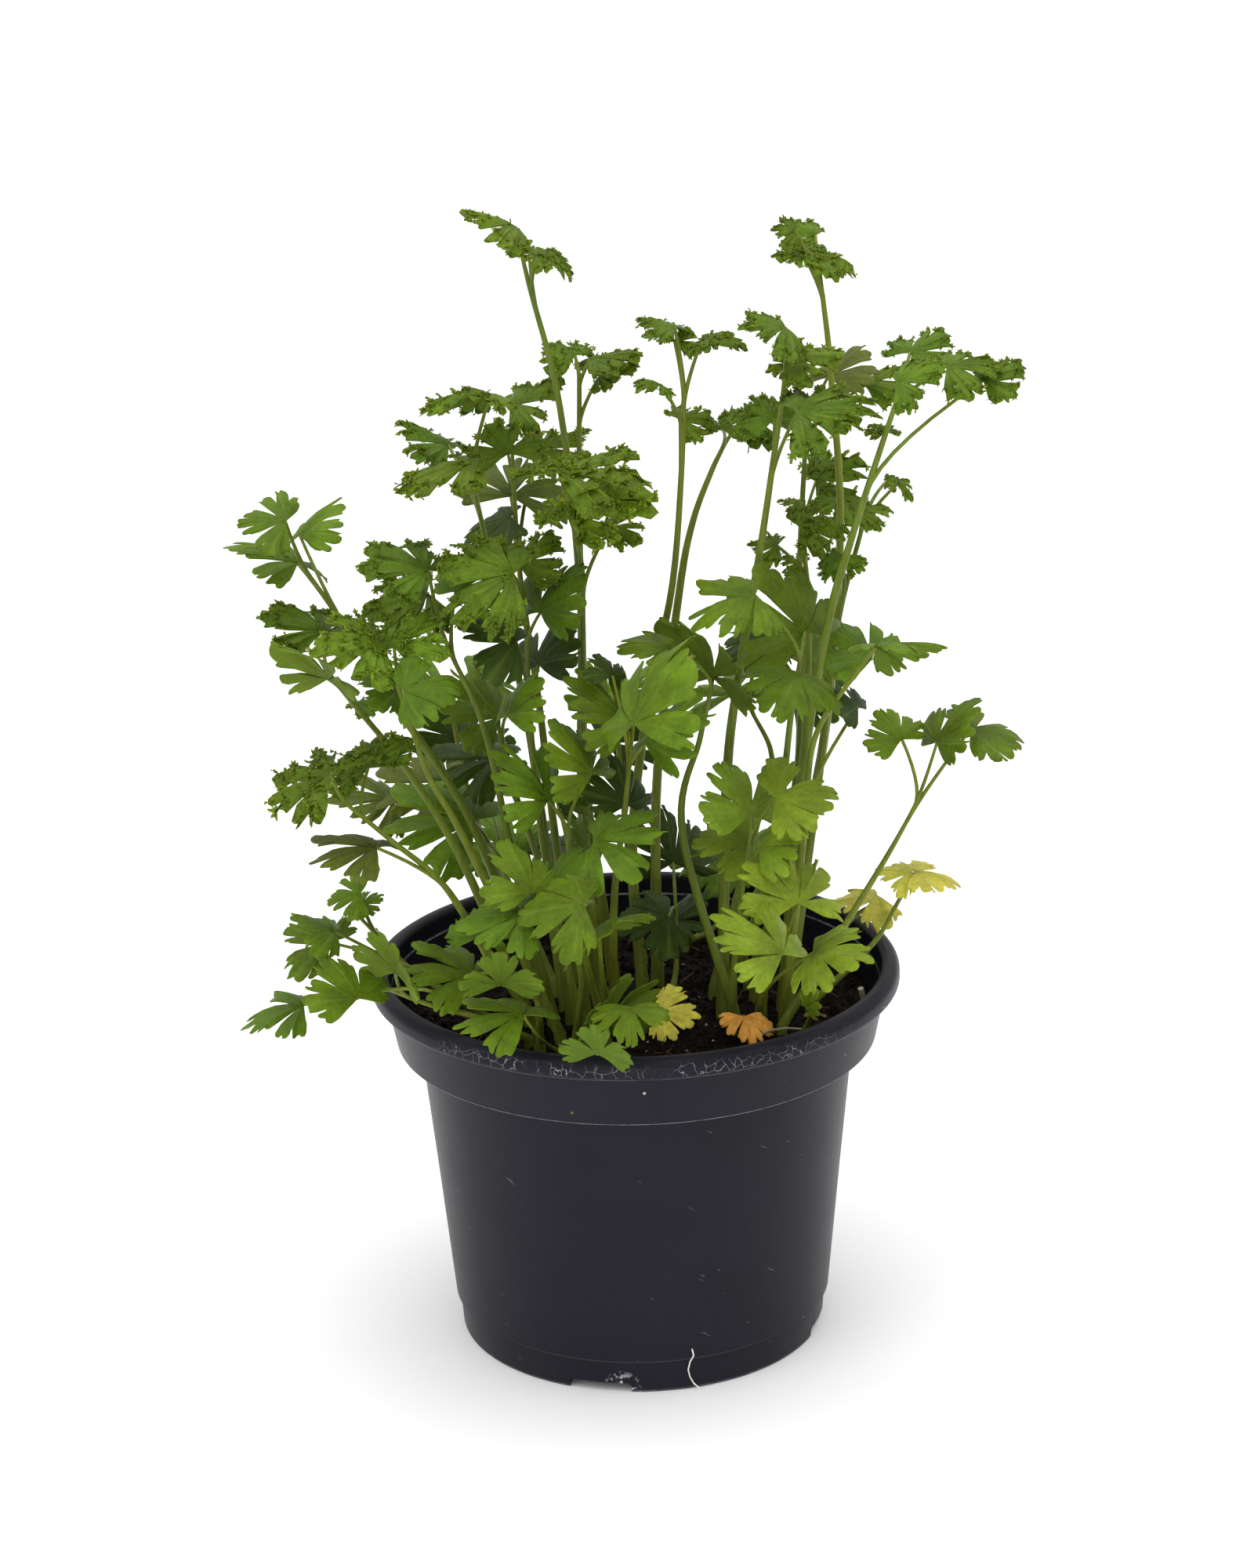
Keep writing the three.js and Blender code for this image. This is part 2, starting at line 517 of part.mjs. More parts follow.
// A disc with one rim corner for each edge point, open at the facet between the last two points.
function discOf(edge, middle) {
  const sides = edge.length;
  const geometry = new THREE.CylinderGeometry(1, 1, 1, sides);
  geometry.rotateX(Math.PI / 2).rotateZ(Math.PI / 2);
  const position = geometry.attributes.position;
  const corner = [];
  for (let i = 0; i < position.count; i++) {
    const [x, y, z] = [position.getX(i), position.getY(i), position.getZ(i)];
    const turnPart = Math.atan2(y, x) / (2 * Math.PI);
    const onRim = Math.hypot(x, y) > 0.5;
    corner[i] = onRim ? (Math.round(turnPart * sides) + sides) % sides : -1;
    const { at, up } = onRim ? edge[corner[i]] : middle;
    const moved = at.clone().addScaledVector(up, Math.sign(z));
    position.setXYZ(i, moved.x, moved.y, moved.z);
  }
  return withoutFacet(geometry, (i) => corner[i] >= sides - 2);
}

// A four-sided bar through all its rings, open at the first one.
function barOf(rings) {
  const last = rings.length - 1;
  const geometry = new THREE.BoxGeometry(last, 1, 1, last, 1, 1).translate(last / 2, 0, 0);
  const position = geometry.attributes.position;
  const ringOf = [];
  for (let i = 0; i < position.count; i++) {
    ringOf[i] = Math.round(last - position.getX(i));
    const { at, up } = rings[ringOf[i]][position.getY(i) > 0 ? 0 : 1];
    const moved = at.clone().addScaledVector(up, Math.sign(position.getZ(i)));
    position.setXYZ(i, moved.x, moved.y, moved.z);
  }
  return withoutFacet(geometry, (i) => ringOf[i] === 0);
}

// Leaves out the triangles whose three corners all pass the test.
function withoutFacet(geometry, test) {
  const index = [...geometry.index.array];
  const kept = [];
  for (let i = 0; i < index.length; i += 3) {
    const triangle = index.slice(i, i + 3);
    if (!triangle.every(test)) kept.push(...triangle);
  }
  geometry.setIndex(kept);
  return geometry;
}

// Reads one line of the frond list.
function frond([name, [[x, y], ...way], heads]) {
  const foot = new THREE.Vector3(x, y, SOIL_TOP + STRAIGHT_ABOVE_SOIL);
  const points = [foot, ...way.map((point) => new THREE.Vector3(...point))];
  const curve = new THREE.CatmullRomCurve3(points, false, 'catmullrom', 0.5);
  const length = curve.getLength();
  return {
    name,
    foot,
    curve,
    length,
    footRadius: FOOT_RADIUS_MIN + length * FOOT_RADIUS_PER_MM,
    heads: heads.map(([hx, hy, hz, bearing, pitch, roll, size, kind]) => {
      return { heel: new THREE.Vector3(hx, hy, hz), bearing, pitch, roll, size, kind };
    }),
  };
}

// The point of the stalk where the twig of this heel starts, lowered by a stagger.
function twigStart(curve, heel, stagger) {
  for (let i = TWIG_SEARCH_STEPS; i > TWIG_SEARCH_STEPS / 4; i--) {
    const point = curve.getPoint(i / TWIG_SEARCH_STEPS);
    const reach = Math.hypot(heel.x - point.x, heel.y - point.y);
    const steep = heel.z - point.z >= TWIG_STEEPNESS * reach - 1;
    if (steep) return curve.getPoint(i / TWIG_SEARCH_STEPS - stagger);
  }
  return curve.getPoint(0.5);
}

// The stalk runs on into the first leaf head, and a twig from the stalk carries each other one.
function frondSolid({ foot, curve, length, footRadius, heads }) {
  const bends = Math.max(2, Math.round(length / STALK_BEND_SPACING));
  const stalk = [...curve.getPoints(bends).toReversed(), foot.clone().setZ(SOIL_TOP - SUNK_DEPTH)];
  const path = stalk.map((point, i) => {
    const width = footRadius * Math.SQRT2 * THREE.MathUtils.lerp(FORK_THINNING, 1, i / bends);
    return { point, width, thickness: width };
  });
  const [first, ...others] = heads;
  let body = leafHead(first, path);
  others.forEach((head, i) => {
    const point = twigStart(curve, head.heel, ((i + 1) * TWIG_SPACING) / length);
    body = body.add(leafHead(head, [{ point, width: TWIG_FOOT_WIDTH, thickness: BLADE_THICKNESS }]));
  });
  return largest(body);
}

// Keeps the main body of a joined solid and drops any loose scrap.
function largest(body) {
  const pieces = body.decompose();
  return pieces.reduce((best, piece) => (piece.volume() > best.volume() ? piece : best));
}

// A fallen leaf lies on its lowest points.
function fallenLeaf([x, y], bearing, roll, size) {
  const heel = new THREE.Vector3(x, y, 0);
  const back = new THREE.Vector3(-Math.cos(radians(bearing)), -Math.sin(radians(bearing)), 0);
  const point = heel.clone().addScaledVector(back, FALLEN_TWIG_LENGTH);
  const twigEnd = { point, width: TWIG_FOOT_WIDTH, thickness: BLADE_THICKNESS };
  const lying = leafHead({ heel, bearing, pitch: FALLEN_PITCH, roll, size, kind: 'f' }, [twigEnd]);
  const lowest = lying.boundingBox().min[2];
  return lying.translate([0, 0, SOIL_TOP + FALLEN_GAP - lowest]);
}

const plant = new THREE.Group();
const fronds = FRONDS.map(frond);
plant.add(named('pot', pot(), POT_FINISH));
plant.add(named('soil', soil(fronds), SOIL_FINISH));
for (const item of fronds) {
  const color = LEAF_COLOURS[item.heads[0].kind];
  plant.add(named(`frond_${item.name}`, frondSolid(item), { ...LEAF_FINISH, color }));
}
for (const [name, heel, bearing, roll, size, color] of FALLEN_LEAVES) {
  plant.add(named(name, fallenLeaf(heel, bearing, roll, size), { ...LEAF_FINISH, color }));
}

export default plant;
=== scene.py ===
# %% [markdown]
# # Potted parsley
# Curly parsley grows here in a round 14 cm nursery pot. This file dresses the plain solids of the
# model: it keeps where everything is, and gives each piece the shape and finish of the real one.
# Everything is in metres, with +Z up and the front of the plant facing -Y. The solids come first,
# because their box is the size that the dressed plant has to keep.

# %% Load the plain solids
import json
import math

import bmesh
import bpy
import numpy as np
from mathutils import Euler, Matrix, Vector, noise

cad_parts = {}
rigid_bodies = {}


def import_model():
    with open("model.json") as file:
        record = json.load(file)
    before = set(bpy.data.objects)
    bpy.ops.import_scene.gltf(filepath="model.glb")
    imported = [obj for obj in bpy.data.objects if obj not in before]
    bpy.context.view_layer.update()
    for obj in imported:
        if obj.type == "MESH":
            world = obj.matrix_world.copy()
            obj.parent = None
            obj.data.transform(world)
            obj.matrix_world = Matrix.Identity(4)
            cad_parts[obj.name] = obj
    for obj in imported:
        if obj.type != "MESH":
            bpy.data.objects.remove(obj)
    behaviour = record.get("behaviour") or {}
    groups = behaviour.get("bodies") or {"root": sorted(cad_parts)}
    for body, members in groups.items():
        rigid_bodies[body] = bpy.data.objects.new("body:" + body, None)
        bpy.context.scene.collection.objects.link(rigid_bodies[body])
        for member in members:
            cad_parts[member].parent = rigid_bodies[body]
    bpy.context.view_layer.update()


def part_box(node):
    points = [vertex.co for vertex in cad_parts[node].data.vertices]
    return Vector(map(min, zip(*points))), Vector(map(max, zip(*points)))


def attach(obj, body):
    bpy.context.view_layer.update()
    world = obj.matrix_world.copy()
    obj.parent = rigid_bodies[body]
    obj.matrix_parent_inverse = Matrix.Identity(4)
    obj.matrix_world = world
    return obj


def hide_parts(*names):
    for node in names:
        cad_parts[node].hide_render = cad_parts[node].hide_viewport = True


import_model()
MM = 0.001

# %% [markdown]
# ## Camera, light and floor
# The photograph looks down at the pot by about 19 degrees from a metre away, through a long lens,
# so the rim is an open ellipse and the sides hardly converge. The picture leans by a little more
# than a degree, which is the camera's roll. The light is a bright white room: one broad soft lamp
# above, one from the left and one low in front, which draws the soft upright sheen on the pot. The
# world is white and brighter towards the ceiling than at the walls, so the plant is darker low down
# among its stalks. A plain pale floor takes the faint shadow.

# %% Camera
VIEW_HEIGHT = math.radians(18.7)
VIEW_ROLL = math.radians(-1.37)
VIEW_DISTANCE = 1.0
VIEW_CENTRE = Vector((-0.001, 0, 0.1523))
FOCAL_PIXELS = 4860
PHOTO_SIZE = (1600, 2000)


def show(name, data):
    """A new object in the scene."""
    item = bpy.data.objects.new(name, data)
    bpy.context.scene.collection.objects.link(item)
    return item


camera_data = bpy.data.cameras.new("camera")
camera_data.sensor_fit = "AUTO"
camera_data.sensor_width = 36
camera_data.lens = FOCAL_PIXELS / PHOTO_SIZE[1] * camera_data.sensor_width
camera = show("camera", camera_data)
back = Vector((0, -math.cos(VIEW_HEIGHT), math.sin(VIEW_HEIGHT)))
look = (-back).to_track_quat("-Z", "Y").to_matrix()
roll = Euler((0, 0, VIEW_ROLL)).to_matrix()
camera.matrix_world = (look @ roll).to_4x4()
camera.location = VIEW_CENTRE + back * VIEW_DISTANCE
bpy.context.scene.camera = camera
print("lens", round(camera_data.lens, 1), "at", [round(v, 4) for v in camera.location])


# %% Colours and nodes
def linear(code, alpha=1.0):
    """Turns a hex colour as seen on a screen into the linear one that Blender computes with."""
    parts = [int(code[i:i + 2], 16) / 255 for i in (1, 3, 5)]
    return [c / 12.92 if c <= 0.04045 else ((c + 0.055) / 1.055) ** 2.4 for c in parts] + [alpha]


def add(tree, kind, settings=None, **sockets):
    """Adds a node with its settings. A socket takes a value or another node's output."""
    node = tree.nodes.new(kind)
    for name, value in (settings or {}).items():
        setattr(node, name, value)
    for name, value in sockets.items():
        key = int(name[1:]) if name[1:].isdigit() else name.replace("_", " ")
        socket = node.inputs[key]
        if isinstance(value, bpy.types.NodeSocket):
            tree.links.new(value, socket)
        else:
            socket.default_value = value
    return node


def new_material(name):
    """A material with its node tree emptied, ready for a shader."""
    material = bpy.data.materials.new(name)
    material.use_nodes = True
    material.node_tree.nodes.clear()
    return material


def finish_material(material, shader):
    """Gives the material its shader and hands it back."""
    add(material.node_tree, "ShaderNodeOutputMaterial", Surface=shader.outputs[0])
    return material


# %% Floor and light
def lamp(name, place, target, size, watts, tint="#ffffff"):
    """A square soft lamp that faces its target."""
    data = bpy.data.lights.new(name, "AREA")
    data.size = size
    data.energy = watts
    data.color = linear(tint)[:3]
    item = show(name, data)
    item.location = place
    item.rotation_euler = (Vector(target) - Vector(place)).to_track_quat("-Z", "Y").to_euler()


FLOOR_REACH = 40


def floor():
    mesh = bpy.data.meshes.new("floor")
    corners = [(x * FLOOR_REACH, y * FLOOR_REACH, 0) for x, y in ((-1, -1), (1, -1), (1, 1), (-1, 1))]
    mesh.from_pydata(corners, [], [(0, 1, 2, 3)])
    material = new_material("pale_paper_floor")
    tree = material.node_tree
    grain = add(tree, "ShaderNodeTexNoise", Scale=3.0, Detail=2.0)
    tone = add(tree, "ShaderNodeMix", {"data_type": "RGBA"}, _0=grain.outputs["Fac"],
               _6=linear("#fbfbfb"), _7=linear("#ffffff"))
    shader = add(tree, "ShaderNodeBsdfPrincipled", Base_Color=tone.outputs[2], Roughness=0.9)
    mesh.materials.append(finish_material(material, shader))
    show("floor", mesh)


floor()
lamp("lamp_above", (0.1, -0.1, 1.5), (0, 0, 0.12), 1.6, 8)
lamp("lamp_left", (-1.1, -0.9, 0.9), (0, 0, 0.15), 1.0, 4)
lamp("lamp_front", (0.0, -1.9, 0.16), (0, 0, 0.1), 0.3, 4.5)
WALL_LIGHT = 0.36
CEILING_LIGHT = 1.5
world = bpy.data.worlds.new("white_room")
world.use_nodes = True
sky = world.node_tree
upward = add(sky, "ShaderNodeSeparateXYZ", Vector=add(sky, "ShaderNodeTexCoord").outputs["Generated"])
strength = add(sky, "ShaderNodeMapRange", Value=upward.outputs["Z"], From_Min=0.0, From_Max=1.0,
               To_Min=WALL_LIGHT, To_Max=CEILING_LIGHT)
sky.links.new(strength.outputs[0], sky.nodes["Background"].inputs["Strength"])
sky.nodes["Background"].inputs["Color"].default_value = linear("#ffffff")
bpy.context.scene.world = world
bpy.context.scene.view_settings.view_transform = "Standard"


# %% [markdown]
# ## The leaf blade
# A parsley leaf head is a fan cut into lobes, and each lobe is cut again into segments with round
# teeth. On the upper, curly fronds the edge also grows faster than the blade, so it throws itself
# into tight ruffles and small tufts stand up all round. A photograph on a card would lose both from
# the side. Here a blade is a grid that runs from the heel to the edge and from one side of the fan
# to the other. The edge's distance from the heel makes the lobes, cuts and teeth, and waves that
# grow towards the edge make the ruffles. A curly blade carries a few dozen small fans of the same
# kind as its tufts. A few different blades are made once, and the fronds then repeat them.

# %% Blade edge
SPREAD = math.radians(230)
SIDE_SHORTENING = 0.16
LOBE_LENGTHS = (-0.08, 0.05)
LOBE_ROUNDING = 0.24
SEGMENT_ROUNDING = 0.09
LOBE_CUTS = {3: (0.3, 0.5), 5: (0.36, 0.54)}
SEGMENT_CUTS = (0.04, 0.24)
CUT_COLUMNS = 1.3
MIDDLE_TOOTH = 0.05
TOOTH_WANDER = 0.14
TOOTH_DEPTHS = (0.05, 0.085)


def in_lobes(across, lobes):
    """The lobe's number and the place in it from 0 to 1, for each place across the fan."""
    lobe = np.minimum((across * lobes).astype(int), lobes - 1)
    return lobe, across * lobes - lobe


def cut_at(distance, width, depth):
    """How much of the edge a cut takes away at a distance from its middle."""
    return depth * np.clip(1 - np.abs(distance) / width, 0, 1)


def fan_edge(across, shape, depth, rng):
    """The distance from heel to edge, for each place across the fan from 0 to 1."""
    lobes, segments, teeth, per_tooth = shape
    cut_width = CUT_COLUMNS / (segments * teeth * per_tooth)
    lobe, in_lobe = in_lobes(across, lobes)
    edge = 1 - SIDE_SHORTENING * (2 * across - 1) ** 2
    edge = edge * (1 + rng.uniform(*LOBE_LENGTHS, lobes))[lobe]
    # lobes and segments with round shoulders
    edge = edge * (1 - LOBE_ROUNDING * np.abs(2 * in_lobe - 1) ** 2.4)
    edge = edge * (1 - SEGMENT_ROUNDING * np.abs(2 * (in_lobe * segments % 1) - 1) ** 2)
    cuts = [(i, LOBE_CUTS[lobes]) for i in range(1, lobes)]
    cuts += [(i + k / segments, SEGMENT_CUTS) for i in range(lobes) for k in range(1, segments)]
    for place, depths in cuts:
        edge = edge - depth * cut_at(across * lobes - place, cut_width, rng.uniform(*depths))
    # teeth of uneven width, and the middle one of each lobe a little longer
    place = in_lobe * segments * teeth
    place = place + TOOTH_WANDER * np.sin(2 * np.pi * in_lobe + rng.uniform(-1, 1, lobes)[lobe])
    edge = edge + MIDDLE_TOOTH * depth * np.exp(-((in_lobe - 0.5) / 0.16) ** 2)
    tooth_depth = TOOTH_DEPTHS[0] + TOOTH_DEPTHS[1] * depth
    return edge - tooth_depth * (1 - np.abs(np.sin(np.pi * place)) ** 0.55)


# %% Blade skins
DROOP = 0.28
LOBE_FOLD = 0.035
LOBE_TILTS = (-0.22, 0.14)
SLOW_WAVE = 0.04
FLAT_HEEL = 0.2
RIB_WIDTH, FINE_RIB_WIDTH = 0.03, 0.09
FINE_RIB_STRENGTH = 0.3
BLADE_THICKNESS = 0.016


def fan(rows, shape, depth, ruffle, waves, gap, rng):
    """Points, rib strengths, reaches, sides and faces of one closed fan of length 1."""
    lobes, segments, teeth, per_tooth = shape
    columns = lobes * segments * teeth * per_tooth
    across = np.linspace(0, 1, columns + 1)
    edge = fan_edge(across, shape, depth, rng)
    lobe, in_lobe = in_lobes(across, lobes)
    reach = rows[:, None] * edge[None, :]

    # height above the flat fan: droop, a fold along each rib, lobes that tilt, waves or ruffles
    tilt = rng.uniform(*LOBE_TILTS, lobes)[lobe]
    rise = (tilt - DROOP) * reach ** 2 - LOBE_FOLD * np.cos(2 * np.pi * in_lobe) * reach
    rise = rise + SLOW_WAVE * reach ** 2 * np.sin(2 * np.pi * lobes * 1.3 * across + rng.uniform(0, 6))
    # each lobe is a little narrower than its share of the fan, so that gaps open between lobes
    apart = rng.uniform(0, gap, lobes)[lobe] * (0.5 - in_lobe) / lobes
    turned = (across + apart - 0.5) * SPREAD + rng.uniform(-0.04, 0.04)
    angle = np.repeat(turned[None, :], len(rows), 0)
    if ruffle:
        swell = np.clip((reach - FLAT_HEEL) / (1 - FLAT_HEEL), 0, 1) ** 1.2
        wander = np.convolve(rng.normal(0, 1, len(across) + 4), [0.1, 0.25, 0.3, 0.25, 0.1], "valid")
        turn = 2 * np.pi * waves * across + 1.2 * wander
        rise = rise + ruffle * swell * (np.sin(turn) + 0.5 * wander)
        angle = angle + 0.08 * swell * np.sin(turn + 1.3)

    # ribs: one along each lobe, and a finer one along each segment
    rib = np.exp(-((in_lobe - 0.5) / RIB_WIDTH) ** 2)[None, :] * (1 - 0.6 * rows[:, None])
    fine = np.exp(-((in_lobe * segments % 1 - 0.5) / FINE_RIB_WIDTH) ** 2)[None, :]
    rib = np.clip(rib + FINE_RIB_STRENGTH * fine * np.clip(rows * 2 - 0.6, 0, 1)[:, None], 0, 1)
    points = np.stack([reach * np.cos(angle), reach * np.sin(angle), rise], -1).reshape(-1, 3)

    # the two skins, joined all round
    half = BLADE_THICKNESS / 2
    count = len(points)
    width = columns + 1
    last = (len(rows) - 1) * width
    faces = []
    for r in range(len(rows) - 1):
        for c in range(columns):
            a, b = r * width + c, r * width + c + 1
            d, e = a + width, b + width
            top = (a, d, e, b) if r else (a, d, e)
            faces += [top, tuple(count + i for i in reversed(top))]
        for c, flip in ((0, False), (columns, True)):
            a, b = r * width + c, (r + 1) * width + c
            side = (a, count + a, count + b, b)
            faces.append(side[::-1] if flip else side)
    for c in range(columns):
        faces.append((last + c, count + last + c, count + last + c + 1, last + c + 1))
    both = np.concatenate([points + [0, 0, half], points - [0, 0, half]])
    sides = np.repeat([0.0, 1.0], count)
    return both, np.tile(rib.ravel(), 2), np.tile(np.repeat(rows, width), 2), sides, faces


# %% Blade templates
def close_mesh(mesh):
    """Merges points that lie on each other and turns all faces outwards."""
    shell = bmesh.new()
    shell.from_mesh(mesh)
    bmesh.ops.remove_doubles(shell, verts=shell.verts, dist=1e-5)
    bmesh.ops.recalc_face_normals(shell, faces=shell.faces)
    shell.to_mesh(mesh)
    shell.free()


# rows and shape of a tuft, depth of its cuts, ruffle, waves and gap between lobes
TUFT_FAN = (np.array([0.0, 0.6, 1.0]), (5, 1, 1, 3), 0.15, 0.22, 3.5, 0.07)
TUFT_PLACE = 0.95
# rows from heel to edge; lobes, segments, teeth and columns; ruffle, its waves, and the gap between
# lobes; tufts on a narrow and on a wide head, on how many outer rows they stand, and how long they are
STYLES = {
    "flat": (np.array([0.0, 0.25, 0.5, 0.72, 0.88, 1.0]), {3: (3, 3, 2, 6), 5: (5, 2, 2, 6)},
             0.022, 7, 0.14, {3: 0, 5: 0}, 1, (0, 0)),
    "curly": (np.array([0.0, 0.35, 0.62, 0.83, 1.0]), {3: (3, 3, 3, 4), 5: (5, 2, 3, 4)},
              0.07, 12, 0.09, {3: 42, 5: 56}, 2, (0.06, 0.12)),
    "mossy": (np.array([0.0, 0.35, 0.62, 0.83, 1.0]), {3: (3, 3, 2, 4), 5: (5, 2, 2, 4)},
              0.08, 14, 0.08, {3: 52, 5: 72}, 4, (0.08, 0.14)),
}


def tuft(foot, bearing, length, rng):
    """A small ruffled fan that stands on a curly blade."""
    points, rib, reach, side, faces = fan(*TUFT_FAN, rng)
    turn = Euler((rng.uniform(-0.9, 0.9), rng.uniform(-1.2, 0.3), bearing + rng.uniform(-0.8, 0.8)))
    points = points @ np.array(turn.to_matrix()).T * length + foot
    return points, rib * 0.3, 0.3 + 0.7 * reach, side * 0.4, faces


def blade(name, lobes, style, seed):
    """One blade with its heel at the origin and its middle rib along +X. A curly one carries tufts."""
    rng = np.random.default_rng(seed)
    rows, shapes, ruffle, waves, gap, tufts, depth, lengths = STYLES[style]
    parts = [fan(rows, shapes[lobes], 1, ruffle, waves, gap, rng)]
    base, _, reach = parts[0][:3]
    width = math.prod(shapes[lobes]) + 1
    # crisp marks the crisped margin and the tufts, where the finish raises bumps and paints a highlight
    # on them and shade in their creases
    crisp = [np.clip(reach * 2.5 - 1.7, 0, 0.7) * (depth > 1)]
    for i in range(tufts[lobes]):
        across = (i + rng.uniform(0.1, 0.9)) / tufts[lobes]
        row = len(rows) - 1 - i % depth
        foot = base[row * width + int(across * width)] * TUFT_PLACE
        parts.append(tuft(foot, (across - 0.5) * SPREAD, rng.uniform(*lengths), rng))
        crisp.append(np.ones(len(parts[-1][0])))
    points, faces = [], []
    for part in parts:
        start = sum(map(len, points))
        points.append(part[0])
        faces.extend(tuple(start + i for i in face) for face in part[4])
    mesh = bpy.data.meshes.new(name)
    mesh.from_pydata(np.concatenate(points).tolist(), [], faces)
    for label, place in (("rib", 1), ("reach", 2), ("underside", 3)):
        values = np.concatenate([part[place] for part in parts]).astype(np.float32)
        mesh.attributes.new(label, "FLOAT", "POINT").data.foreach_set("value", values)
    values = np.concatenate(crisp).astype(np.float32)
    mesh.attributes.new("crisp", "FLOAT", "POINT").data.foreach_set("value", values)
    close_mesh(mesh)
    return bpy.data.objects.new(name, mesh)


VARIANTS = 4
WIDE_HEAD = 17
blades = bpy.data.collections.new("blades")
for order, (lobes, style) in enumerate((n, style) for style in STYLES for n in (3, 5)):
    for k in range(VARIANTS):
        blades.objects.link(blade(f"blade_{order}_{k}_{style}", lobes, style, seed=10 * order + k + 1))
for item in list(blades.objects)[::VARIANTS]:
    print(item.name, "triangles", sum(len(p.vertices) - 2 for p in item.data.polygons))


# %% [markdown]
# ## Fronds
# A frond is one stalk that comes out of the soil, forks, and ends in leaf heads on twigs. Each one
# could be modelled by hand, but all of them follow one rule, so the list below only says where each
# stalk runs and where each head sits, in millimetres, exactly as the solids do. A node tree turns
# the stalk's path into a ribbed tapering tube, sets a blade on each head's point, and bends every
# blade a little by noise, so that no two of them are alike.

